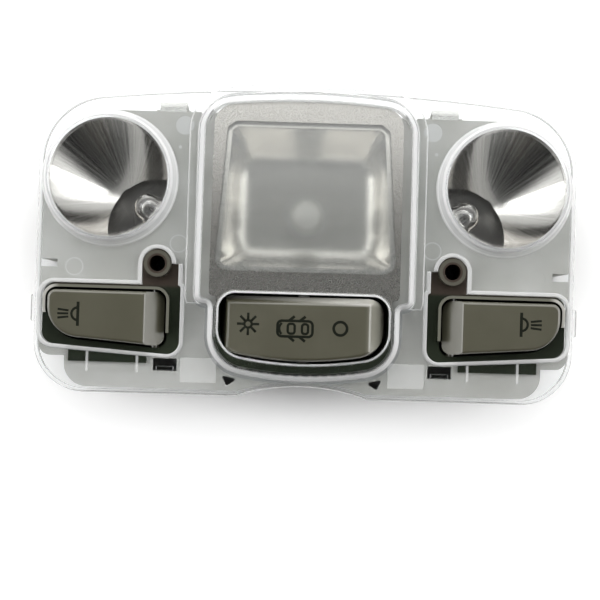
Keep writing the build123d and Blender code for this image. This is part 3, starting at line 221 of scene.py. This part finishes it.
def frosted(name, colour, transmission, roughness):
    """Clear material with a rough face: part of the light is bent, part is scattered."""
    finish = new_finish(
        name, Base_Color=(*colour, 1.0), Transmission_Weight=transmission, IOR=1.49, Roughness=roughness)
    grain_bump(finish, noise(finish.node_tree, 1800.0, 3.0), 0.3, 0.1 * MM)
    let_lamps_through(finish, (0.75, 0.75, 0.74), shader_of(finish).outputs["BSDF"])
    return finish


frosted_plastic = frosted("frosted_plastic", (0.93, 0.93, 0.91), 0.94, 0.26)
soft_glass = frosted("soft_glass", (0.95, 0.94, 0.92), 0.75, 0.40)

bulb_glass = new_finish(
    "bulb_glass", Base_Color=(0.98, 0.98, 0.98, 1.0), Transmission_Weight=1.0, IOR=1.5)
smears = noise(bulb_glass.node_tree, 400.0)
hang(bulb_glass, ramp(bulb_glass.node_tree, smears, 0.4, 0.7, 0.0, 0.03), "Roughness")
let_lamps_through(bulb_glass, (0.95, 0.95, 0.95), shader_of(bulb_glass).outputs["BSDF"])
print("clear finishes:", clear_plastic.name, shield_plastic.name, frosted_plastic.name, soft_glass.name)

# %% [markdown]
# ## Metallised and painted finishes
#
# The three reflectors are plastic with a vacuum coat of aluminium, which keeps the fine
# lines of the polished tool: these run down to the neck of each bowl, so the pattern reads
# the angle about the neck. The mask round the window is sprayed in silver paint, whose
# flakes sparkle and spread the reflection of the room. Both are metals to the shader: the
# coat gets thin streaks in its roughness, the paint gets small grains in its colour.

# %% Bright finishes
NECK_X, NECK_Y = 63.6, 14.8
COAT_DULL, COAT_BRIGHT = (0.69, 0.67, 0.64), (0.80, 0.78, 0.75)
PAINT_DARK, PAINT_LIGHT = (0.38, 0.365, 0.335), (0.55, 0.53, 0.505)

mirror_coat = new_finish("mirror_coat", Metallic=1.0)
coat = mirror_coat.node_tree
place = axes(coat)
across = combine(coat, "SUBTRACT", combine(coat, "ABSOLUTE", place["X"], 0.0), NECK_X * MM)
along = combine(coat, "SUBTRACT", place["Y"], NECK_Y * MM)
streaks = add_node(coat, "TexNoise", noise_dimensions="1D", Scale=22.0, Detail=5.0)
coat.links.new(combine(coat, "ARCTAN2", along, across), streaks.inputs["W"])
streaks = streaks.outputs["Fac"]
streak_step = ramp(coat, streaks, 0.3, 0.7, 0.0, 1.0)
hang(mirror_coat, blend_colours(coat, streak_step, COAT_DULL, COAT_BRIGHT), "Base Color")
hang(mirror_coat, ramp(coat, streaks, 0.3, 0.7, 0.11, 0.18), "Roughness")

satin_silver = new_finish("satin_silver", Metallic=0.9)
paint = satin_silver.node_tree
flakes = noise(paint, 3000.0, 4.0)
flake_step = ramp(paint, flakes, 0.35, 0.7, 0.0, 1.0)
hang(satin_silver, blend_colours(paint, flake_step, PAINT_DARK, PAINT_LIGHT), "Base Color")
hang(satin_silver, ramp(paint, flakes, 0.3, 0.7, 0.34, 0.22), "Roughness")
grain_bump(satin_silver, flakes, 0.02)
print("bright finishes:", mirror_coat.name, satin_silver.name)

# %% [markdown]
# ## Moulded plastics
#
# The keys, frames, deck and housing are opaque mouldings. Their tools are spark-eroded, so
# the faces carry a fine even grain, and the pigment never mixes quite evenly. One function
# makes them all from two close colours, a roughness and a grain size.

# %% Opaque mouldings
def moulded(name, dark, light, roughness, grain_scale, grain_strength, **sockets):
    """Opaque moulded plastic: cloudy colour and a fine spark-eroded grain."""
    finish = new_finish(name, **sockets)
    tree = finish.node_tree
    cloud = ramp(tree, noise(tree, 60.0, 3.0), 0.3, 0.7, 0.0, 1.0)
    hang(finish, blend_colours(tree, cloud, dark, light), "Base Color")
    grain = noise(tree, grain_scale, 3.0)
    hang(finish, ramp(tree, grain, 0.3, 0.7, roughness - 0.06, roughness + 0.06), "Roughness")
    grain_bump(finish, grain, grain_strength)
    return finish


def dark_frame(name):
    """The olive black plastic of the frames round the keys."""
    return moulded(
        name, (0.012, 0.017, 0.008), (0.018, 0.024, 0.013), 0.45, 4000.0, 0.15, Specular_IOR_Level=0.25)


grey_plastic = moulded("grey_plastic", (0.45, 0.445, 0.42), (0.53, 0.525, 0.505), 0.5, 2500.0, 0.1)
key_plastic = moulded(
    "key_plastic", (0.080, 0.076, 0.048), (0.092, 0.088, 0.058), 0.40, 4500.0, 0.2,
    Coat_Weight=1.0, Coat_IOR=1.75, Coat_Roughness=0.22)
frame_plastic = dark_frame("frame_plastic")
guide_plastic = dark_frame("guide_plastic")
black_plastic = moulded("black_plastic", (0.012, 0.012, 0.012), (0.02, 0.02, 0.02), 0.45, 4000.0, 0.15)
symbol_ink = moulded(
    "symbol_ink", (0.010, 0.012, 0.008), (0.014, 0.016, 0.011), 0.55, 6000.0, 0.05,
    Specular_IOR_Level=0.05)
print("mouldings:", grey_plastic.name, key_plastic.name, frame_plastic.name, black_plastic.name)

# %% [markdown]
# ## Colours that change with place
#
# A moulding is not one even colour. Ejector pins leave pale marks on the deck. On the frames
# of the reading keys, paler and browner colours are painted highlights: along the top of the
# lip, brightest at its outer end, on the tab round each screw sleeve and on the sleeve's top
# ring. The rocker's upper edge and raised end gleam in the light, and a paler colour stands
# in for that. Each of these is a fade to a second colour, steered by a pattern that rises from
# 0 to 1.

# %% Fades by place
def fade(finish, where, colour):
    """Fades a finish to another colour where a pattern rises from 0 to 1."""
    tree = finish.node_tree
    base = shader_of(finish).inputs["Base Color"]
    mix = add_node(tree, "Mix", data_type="RGBA")
    tree.links.new(where, mix.inputs["Factor"])
    tree.links.new(base.links[0].from_socket, mix.inputs["A"])
    mix.inputs["B"].default_value = (*colour, 1.0)
    tree.links.new(mix.outputs["Result"], base)


def round_mark(tree, x, y, inner, outer):
    """One between two radii about a place that is mirrored left and right, in millimetres."""
    ahead = 100.0
    soft = 0.2
    mirrored = add_node(tree, "VectorMath", operation="ABSOLUTE")
    tree.links.new(object_place(tree, (1.0, 1.0, 0.0), (0.0, ahead * MM, 0.0)), mirrored.inputs[0])
    away = add_node(tree, "VectorMath", operation="DISTANCE")
    tree.links.new(mirrored.outputs["Vector"], away.inputs[0])
    away.inputs[1].default_value = (x * MM, (y + ahead) * MM, 0.0)
    beyond = ramp(tree, away.outputs["Value"], (inner - soft) * MM, inner * MM, 0.0, 1.0)
    within = ramp(tree, away.outputs["Value"], outer * MM, (outer + soft) * MM, 1.0, 0.0)
    return combine(tree, "MULTIPLY", beyond, within)


print("fades ready")

# %% Marks of the ejector pins on the deck
MARK_COLOUR = (0.60, 0.60, 0.59)
PIN_DISC = (43.7, 40.3, 0.0, 3.2)
PIN_RING = (44.7, -1.5, 2.9, 3.1)
GATE_DOT = (45.2, 32.6, 0.0, 0.5)
LEFT_RING = (81.2, -10.6, 2.9, 3.1)

grey = grey_plastic.node_tree
for mark in (PIN_DISC, PIN_RING, GATE_DOT):
    fade(grey_plastic, round_mark(grey, *mark), MARK_COLOUR)
left_half = ramp(grey, axes(grey)["X"], -1.0 * MM, 0.0, 1.0, 0.0)
fade(grey_plastic, combine(grey, "MULTIPLY", round_mark(grey, *LEFT_RING), left_half), MARK_COLOUR)
print("marks on", grey_plastic.name)

# %% Painted highlights on the lip, tab and sleeve of the key frames
LIP_HEIGHT, LIP_CEILING = 29.4, 60.0
SLEEVE_HIGHLIGHT_RING = (51.7, -8.8, 3.6, 4.7)

guide = guide_plastic.node_tree
place = axes(guide)
# Painted highlight: the top of the lip is paler where it catches the light, and much paler at its outer
# end.
lip = height_band(guide, LIP_HEIGHT, LIP_CEILING, 0.15)
outer_end_highlight = ramp(guide, combine(guide, "ABSOLUTE", place["X"], 0.0), 85.0 * MM, 88.5 * MM, 0.0, 1.0)
# Painted highlights: the tab round the screw sleeve, above Y -16 mm, and the sleeve's top ring are
# lighter and browner where the light falls on them.
tab = ramp(guide, place["Y"], -17.5 * MM, -16.0 * MM, 0.0, 1.0)
fade(guide_plastic, lip, (0.15, 0.15, 0.12))
fade(guide_plastic, combine(guide, "MULTIPLY", lip, outer_end_highlight), (0.50, 0.49, 0.45))
fade(guide_plastic, tab, (0.050, 0.037, 0.028))
fade(guide_plastic, round_mark(guide, *SLEEVE_HIGHLIGHT_RING), (0.10, 0.095, 0.075))
print("lip, tab and sleeve on", guide_plastic.name)

# %% Gleaming edge and end of the rocker
EDGE_SLANT = 0.033

rocker_plastic = key_plastic.copy()
rocker_plastic.name = "rocker_plastic"
rocker = rocker_plastic.node_tree
place = axes(rocker)
slant = combine(rocker, "ADD", place["Y"], combine(rocker, "MULTIPLY", place["X"], EDGE_SLANT))
upper_edge = ramp(rocker, slant, -21.4 * MM, -20.2 * MM, 0.0, 0.8)
raised_end = ramp(rocker, place["X"], 21.0 * MM, 24.5 * MM, 0.0, 0.6)
fade(rocker_plastic, upper_edge, (0.50, 0.49, 0.45))
fade(rocker_plastic, raised_end, (0.50, 0.49, 0.42))
print("edge and end on", rocker_plastic.name)

# %% [markdown]
# ## Metals
#
# Contacts, clips, screws and filaments are stamped or drawn, so all carry a fine rub along
# one direction. The rub is a noise pattern squeezed across that direction.

# %% Rubbed metals
def rubbed_metal(name, colour, roughness):
    """Stamped or drawn metal with a fine directional rub."""
    finish = new_finish(name, Base_Color=(*colour, 1.0), Metallic=1.0)
    rub = noise(finish.node_tree, 500.0, 3.0, (1.0, 10.0, 10.0))
    hang(finish, ramp(finish.node_tree, rub, 0.3, 0.7, roughness - 0.08, roughness + 0.08), "Roughness")
    grain_bump(finish, rub, 0.08)
    return finish


brass = rubbed_metal("brass", (0.72, 0.53, 0.25), 0.32)
spring_steel = rubbed_metal("spring_steel", (0.62, 0.62, 0.60), 0.28)
screw_steel = rubbed_metal("screw_steel", (0.55, 0.54, 0.52), 0.35)
tungsten = rubbed_metal("tungsten", (0.40, 0.39, 0.38), 0.4)
print("metals:", brass.name, spring_steel.name, screw_steel.name, tungsten.name)

# %% [markdown]
# ## Dressing the CAD nodes
#
# Every node keeps its mesh and place, and only its material slots are filled. A table from
# finish to wearers shows at a glance which pieces are moulded together on the real lamp.

# %% Hand the finishes to the CAD nodes
def pair(*names):
    """The left and right node of each named piece."""
    return [name + side for name in names for side in ("_left", "_right")]


wearers = {
    clear_plastic: ["cover"],
    shield_plastic: ["centre_lens"],
    frosted_plastic: ["diffuser"],
    soft_glass: ["centre_bulb"],
    bulb_glass: pair("reading_bulb"),
    mirror_coat: ["centre_reflector", *pair("reading_reflector")],
    satin_silver: ["centre_mask"],
    grey_plastic: ["deck", "rear_housing", "centre_holder", *pair("push_plunger")],
    key_plastic: pair("reading_key"),
    rocker_plastic: ["rocker_key"],
    frame_plastic: ["rocker_frame"],
    guide_plastic: pair("switch_frame"),
    black_plastic: ["connector", *pair("reading_holder", "push_switch")],
    brass: ["holder_blades", "rocker_wiper", "contact_rails", "connector_pins", "bus_strip_supply",
            "bus_strip_return"],
    spring_steel: pair("retaining_clip"),
    screw_steel: ["housing_screws"],
    tungsten: ["centre_filament", *pair("reading_filament")],
}
for finish, names in wearers.items():
    for name in names:
        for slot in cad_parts[name].material_slots:
            slot.material = finish
dressed = {name for names in wearers.values() for name in names}
print("undressed nodes:", set(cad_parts) - dressed)

# %% [markdown]
# ## Floor
#
# The lamp lies on white paper. The paper is a pale diffuse sheet, so it keeps the lamp's
# soft shadow, and a little glow that only the camera, mirrors and clear parts see lifts it
# to white. The glow stops under the lamp, where no light would reach, so the screw holes
# look down into the dark.

# %% White paper
FOOTPRINT_SCALE = (10.5, 19.0, 0.0)
PAPER_LIFT = 0.42
floor_white = new_finish("floor_white", Base_Color=(0.86, 0.86, 0.86, 1.0), Roughness=0.9)
paper = floor_white.node_tree
path = add_node(paper, "LightPath")
seen = combine(paper, "MAXIMUM", path.outputs["Is Camera Ray"], path.outputs["Is Glossy Ray"])
seen = combine(paper, "MAXIMUM", seen, path.outputs["Is Transmission Ray"])
reach = add_node(paper, "VectorMath", operation="LENGTH")
paper.links.new(object_place(paper, FOOTPRINT_SCALE), reach.inputs[0])
outside = ramp(paper, reach.outputs["Value"], 0.8, 1.3, 0.0, PAPER_LIFT)
shader_of(floor_white).inputs["Emission Color"].default_value = (1.0, 1.0, 1.0, 1.0)
hang(floor_white, combine(paper, "MULTIPLY", seen, outside), "Emission Strength")

FLOOR_HALF = 6.0
floor_mesh = bpy.data.meshes.new("floor")
corners = [(-1, -1, 0), (1, -1, 0), (1, 1, 0), (-1, 1, 0)]
floor_mesh.from_pydata([Vector(corner) * FLOOR_HALF for corner in corners], [], [(0, 1, 2, 3)])
floor_mesh.materials.append(floor_white)
floor = bpy.data.objects.new("floor", floor_mesh)
scene.collection.objects.link(floor)
print("floor:", 2 * FLOOR_HALF, "m square")

# %% [markdown]
# ## Light
#
# Bright metal and clear plastic show the room more than their own colour, so the room is
# drawn with care: pale walls all round, a darker patch overhead that leans to the side of
# the person who takes the picture, and a dim wall behind them. The world shader finds how
# closely each direction agrees with the middle of a patch by a dot product. A large soft
# window stands on the far side, and two smaller lamps stand left and right, where flat
# mirrors never show them: they light the mouldings and put a gleam on the ends of the keys.

# %% Room
DARK_TOWARDS = Vector((0.0, -0.6, 0.8)).normalized()
NEAR_WALL = Vector((0.0, -1.0, 0.0))
ROOM_LEVEL = 1.3
DARK_LEVEL = 0.03
NEAR_LEVEL = 0.3
DARK_EDGE = (0.48, 0.72)
NEAR_EDGE = (0.2, 0.6)
room = bpy.data.worlds.new("room")
scene.world = room
room.use_nodes = True
sky = room.node_tree
direction = add_node(sky, "TexCoord")


def towards(middle):
    """How closely a direction of the room agrees with the middle of a patch."""
    agreement = add_node(sky, "VectorMath", operation="DOT_PRODUCT")
    sky.links.new(direction.outputs["Generated"], agreement.inputs[0])
    agreement.inputs[1].default_value = middle
    return agreement.outputs["Value"]


overhead = ramp(sky, towards(DARK_TOWARDS), *DARK_EDGE, ROOM_LEVEL, DARK_LEVEL)
wall = ramp(sky, towards(NEAR_WALL), *NEAR_EDGE, 1.0, NEAR_LEVEL)
level = combine(sky, "MULTIPLY", overhead, wall)
backdrop = sky.nodes["Background"]
backdrop.inputs["Color"].default_value = (1.0, 1.0, 1.0, 1.0)
sky.links.new(level, backdrop.inputs["Strength"])
print("room level:", ROOM_LEVEL, "dark patch:", DARK_LEVEL)

# %% Lamps
def area_lamp(name, place, aim, size, power):
    """A soft rectangular lamp that looks from a place at an aim."""
    light = bpy.data.lights.new(name, "AREA")
    light.shape = "RECTANGLE"
    light.size, light.size_y = size
    light.energy = power
    lamp = bpy.data.objects.new(name, light)
    lamp.location = place
    lamp.rotation_euler = (Vector(aim) - Vector(place)).to_track_quat("-Z", "Y").to_euler()
    scene.collection.objects.link(lamp)
    return lamp


LAMP_AIM = (0.0, 0.0, 0.02)
window = area_lamp("window", (0.0, 0.95, 0.85), LAMP_AIM, (1.6, 0.9), 3.2)
left_lamp = area_lamp("left_lamp", (-1.2, 0.25, 0.9), LAMP_AIM, (0.8, 0.8), 6.0)
right_lamp = area_lamp("right_lamp", (1.2, 0.25, 0.9), LAMP_AIM, (0.8, 0.8), 6.0)
print("lamps:", window.name, left_lamp.name, right_lamp.name)

# %% [markdown]
# ## Camera
#
# The photograph was taken from almost straight above and from close by. The frame is 600
# pixels wide and shows 0.35 mm of the cover's plane to a pixel, which fixes the lens once a
# distance is chosen. The lamp lies slightly turned, so the camera is rolled.

# %% Camera from above
PHOTO_SIDE = 600
PLATE_SCALE = 0.35 * MM
CAMERA_DISTANCE = 0.48
CAMERA_ELEVATION = 89.0
CAMERA_ROLL = 1.76
aim = Vector((-1.4, -20.1, 27.3)) * MM
turn = Euler((math.radians(90 - CAMERA_ELEVATION), 0.0, math.radians(CAMERA_ROLL)))
camera_data = bpy.data.cameras.new("camera")
camera_data.sensor_width = 36.0
camera_data.lens = camera_data.sensor_width * CAMERA_DISTANCE / (PHOTO_SIDE * PLATE_SCALE)
camera = bpy.data.objects.new("camera", camera_data)
camera.rotation_euler = turn
camera.location = aim + turn.to_matrix() @ Vector((0.0, 0.0, CAMERA_DISTANCE))
scene.collection.objects.link(camera)
scene.camera = camera
scene.view_settings.view_transform = "Standard"
print("lens:", round(camera_data.lens, 1), "mm")

# %% [markdown]
# ## Printed symbols
#
# The keys carry small dark symbols: a lamp with its beams on each reading key, and a sun, a
# car with open doors and a ring on the rocker. Each line of a symbol is a round wire along
# a path, pressed flat to the thickness of a coat of ink, so crossings join cleanly. Lines
# that repeat, such as the sun's rays and the lamp's beams, come from one Geometry Nodes
# tree that turns copies of a line about a point; the others are drawn as curves.

# %% A tree for strokes that fan out
def new_tree(name, **inputs):
    """A Geometry Nodes tree with named number inputs and one geometry output."""
    tree = bpy.data.node_groups.new(name, "GeometryNodeTree")
    for label, (kind, value) in inputs.items():
        socket = tree.interface.new_socket(label, in_out="INPUT", socket_type="NodeSocket" + kind)
        socket.default_value = value
    tree.interface.new_socket("Geometry", in_out="OUTPUT", socket_type="NodeSocketGeometry")
    return tree, tree.nodes.new("NodeGroupInput"), tree.nodes.new("NodeGroupOutput")


def tree_node(tree, kind, **links):
    """Adds a geometry node and fills its sockets from values or other outputs."""
    node = tree.nodes.new(kind)
    for label, value in links.items():
        socket = node.inputs[label.replace("_", " ")]
        if isinstance(value, bpy.types.NodeSocket):
            tree.links.new(value, socket)
        else:
            socket.default_value = value
    return node


def tree_math(tree, operation, first, second):
    """One Math node between two sockets or numbers."""
    node = tree.nodes.new("ShaderNodeMath")
    node.operation = operation
    for slot, value in enumerate((first, second)):
        if isinstance(value, bpy.types.NodeSocket):
            tree.links.new(value, node.inputs[slot])
        else:
            node.inputs[slot].default_value = value
    return node.outputs["Value"]


def vector_along_x(tree, length):
    """A vector of a given length along X."""
    return tree_node(tree, "ShaderNodeCombineXYZ", X=length).outputs["Vector"]


def finish_tree(tree, geometry, finish, group_out):
    """Ends a tree with real geometry and its material."""
    real = tree_node(tree, "GeometryNodeRealizeInstances", Geometry=geometry)
    dressed_mesh = tree_node(tree, "GeometryNodeSetMaterial", Geometry=real.outputs["Geometry"])
    dressed_mesh.inputs["Material"].default_value = finish
    tree.links.new(dressed_mesh.outputs["Geometry"], group_out.inputs["Geometry"])


fan, fan_in, fan_out = new_tree(
    "stroke_fan", Count=("Int", 8), Inner=("Float", 1.6), Outer=("Float", 3.8), Width=("Float", 0.7),
    First=("Float", 0.0), Step=("Float", 0.8))
line = tree_node(
    fan, "GeometryNodeCurvePrimitiveLine",
    Start=vector_along_x(fan, fan_in.outputs["Inner"]), End=vector_along_x(fan, fan_in.outputs["Outer"]))
profile = tree_node(
    fan, "GeometryNodeCurvePrimitiveCircle", Resolution=10,
    Radius=tree_math(fan, "MULTIPLY", fan_in.outputs["Width"], 0.5))
bar = tree_node(
    fan, "GeometryNodeCurveToMesh", Curve=line.outputs["Curve"], Profile_Curve=profile.outputs["Curve"],
    Fill_Caps=True)
index = fan.nodes.new("GeometryNodeInputIndex").outputs["Index"]
turned = tree_math(fan, "MULTIPLY", index, fan_in.outputs["Step"])
turned = tree_math(fan, "ADD", turned, fan_in.outputs["First"])
spots = tree_node(fan, "GeometryNodePoints", Count=fan_in.outputs["Count"])
rays = tree_node(
    fan, "GeometryNodeInstanceOnPoints", Points=spots.outputs["Points"], Instance=bar.outputs["Mesh"],
    Rotation=tree_node(fan, "ShaderNodeCombineXYZ", Z=turned).outputs["Vector"])
finish_tree(fan, rays.outputs["Instances"], symbol_ink, fan_out)
print("tree:", fan.name, "inputs:", [s.name for s in fan.interface.items_tree if s.in_out == "INPUT"])

# %% From trees and curves to plain meshes
def grown(tree, **values):
    """The plain mesh that a tree grows with these inputs."""
    seed = bpy.data.objects.new("seed", bpy.data.meshes.new("seed"))
    scene.collection.objects.link(seed)
    modifier = seed.modifiers.new("tree", "NODES")
    modifier.node_group = tree
    for item in tree.interface.items_tree:
        if item.in_out == "INPUT" and item.name in values:
            modifier[item.identifier] = values[item.name]
    mesh = bpy.data.meshes.new_from_object(seed.evaluated_get(bpy.context.evaluated_depsgraph_get()))
    seed.modifiers.remove(modifier)
    bpy.data.objects.remove(seed)
    return mesh


def drawn(points, width, closed=False):
    """The plain mesh of a round wire along points in the plane."""
    curve = bpy.data.curves.new("wire", "CURVE")
    curve.dimensions = "3D"
    curve.bevel_depth = width / 2
    curve.bevel_resolution = 2
    curve.use_fill_caps = True
    spline = curve.splines.new("POLY")
    spline.points.add(len(points) - 1)
    for point, (x, y) in zip(spline.points, points):
        point.co = (x, y, 0.0, 1.0)
    spline.use_cyclic_u = closed
    wire = bpy.data.objects.new("wire", curve)
    scene.collection.objects.link(wire)
    mesh = bpy.data.meshes.new_from_object(wire.evaluated_get(bpy.context.evaluated_depsgraph_get()))
    bpy.data.objects.remove(wire)
    mesh.materials.clear()
    mesh.materials.append(symbol_ink)
    return mesh


def arc(centre, radius, first, last, steps):
    """Points along an arc, angles in degrees."""
    angles = [math.radians(first + (last - first) * i / steps) for i in range(steps + 1)]
    return [(centre[0] + radius * math.cos(a), centre[1] + radius * math.sin(a)) for a in angles]


def rounded_box(width, height, radius, steps=5):
    """Points round a box with round corners, about the origin."""
    points = []
    for quarter, (sx, sy) in enumerate(((1, 1), (-1, 1), (-1, -1), (1, -1))):
        corner = (sx * (width / 2 - radius), sy * (height / 2 - radius))
        points += arc(corner, radius, 90 * quarter, 90 * quarter + 90, steps)
    return points


def shifted(points, dx, dy):
    """The same points, moved in the plane."""
    return [(x + dx, y + dy) for x, y in points]


print("stroke helpers ready")

# %% Join strokes into one symbol
INK_THICKNESS = 0.05


def symbol(name, strokes, placement, body):
    """Joins strokes drawn in millimetres, presses them flat and places them on a key."""
    flatten = Matrix.Diagonal((MM, MM, INK_THICKNESS * MM, 1.0))
    joined = bpy.data.meshes.new(name)
    vertices, faces = [], []
    for stroke in strokes:
        start = len(vertices)
        vertices += [placement @ flatten @ vertex.co for vertex in stroke.vertices]
        faces += [[start + corner for corner in face.vertices] for face in stroke.polygons]
    joined.from_pydata(vertices, [], faces)
    joined.materials.append(symbol_ink)
    for face in joined.polygons:
        face.use_smooth = True
    piece = bpy.data.objects.new(name, joined)
    scene.collection.objects.link(piece)
    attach(piece, body)
    print(name, "faces:", len(faces))
    return piece


# %% Lamp symbols of the reading keys
KEY_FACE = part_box("reading_key_left")[1][2]
STROKE = 0.85
BEAM_SPREAD = math.radians(6.8)
BEAM_ORIGIN = -5.7


def lamp_strokes():
    """A bar, a half round lamp and three beams that point along +X."""
    bar_line = drawn([(0.0, -4.2), (0.0, 4.2)], 1.2 * STROKE)
    bowl_line = drawn(arc((0.0, 0.0), 2.2, -90, 90, 14), STROKE)
    beams = grown(fan, Count=3, Inner=9.0, Outer=12.8, Width=0.74, First=-BEAM_SPREAD, Step=BEAM_SPREAD)
    for vertex in beams.vertices:
        vertex.co.x += BEAM_ORIGIN
    return [bar_line, bowl_line, beams]


for side, body, x, y in ((-1, "key_left", -78.3, -27.3), (1, "key_right", 75.6, -26.4)):
    outwards = Matrix.Rotation(math.pi if side < 0 else 0.0, 4, "Z")
    placement = Matrix.Translation((x * MM, y * MM, KEY_FACE)) @ outwards
    symbol("lamp_symbol_" + body.split("_")[1], lamp_strokes(), placement, body)

# %% Symbols of the rocker
ROCKER_PIVOT = Vector((0.0, 0.0, 21.5)) * MM
ROCKER_LEVEL_FACE = 35.6 * MM
SUN_PLACE, CAR_PLACE, RING_PLACE = (-17.4, -29.0), (-1.0, -30.2), (14.7, -29.7)
ROCKER_REST = math.radians(-7.5)
to_pivot = Matrix.Translation(ROCKER_PIVOT)
rocker_turn = to_pivot @ Matrix.Rotation(ROCKER_REST, 4, "Y") @ to_pivot.inverted()


def on_rocker(x, y):
    """A place on the rocker's face, given in millimetres on the level rocker."""
    return rocker_turn @ Matrix.Translation((x * MM, y * MM, ROCKER_LEVEL_FACE))


sun = [
    drawn(arc((0.0, 0.0), 1.3, 0, 360, 20)[:-1], 0.85, closed=True),
    grown(fan, Count=8, Inner=1.5, Outer=3.9, Width=0.85, First=0.0, Step=math.pi / 4),
]
symbol("sun_symbol", sun, on_rocker(*SUN_PLACE), "rocker")

car = [
    drawn(rounded_box(12.2, 5.4, 1.5), 0.9, closed=True),
    drawn(shifted(rounded_box(2.4, 3.4, 0.9), -1.3, 0.0), 0.85, closed=True),
    drawn(shifted(rounded_box(2.1, 3.4, 0.9), 3.5, 0.0), 0.85, closed=True),
    drawn(arc((-3.0, 0.0), 2.5, 130, 230, 8), 0.85),
]
for hinge in (-2.2, 1.6):
    for upwards in (-1, 1):
        door = [(hinge, 2.7 * upwards), (hinge + 2.0, 4.3 * upwards)]
        car.append(drawn(door, 0.95))
symbol("car_symbol", car, on_rocker(*CAR_PLACE), "rocker")

ring = [drawn(arc((0.0, 0.0), 2.3, 0, 360, 32)[:-1], 0.95, closed=True)]
symbol("ring_symbol", ring, on_rocker(*RING_PLACE), "rocker")
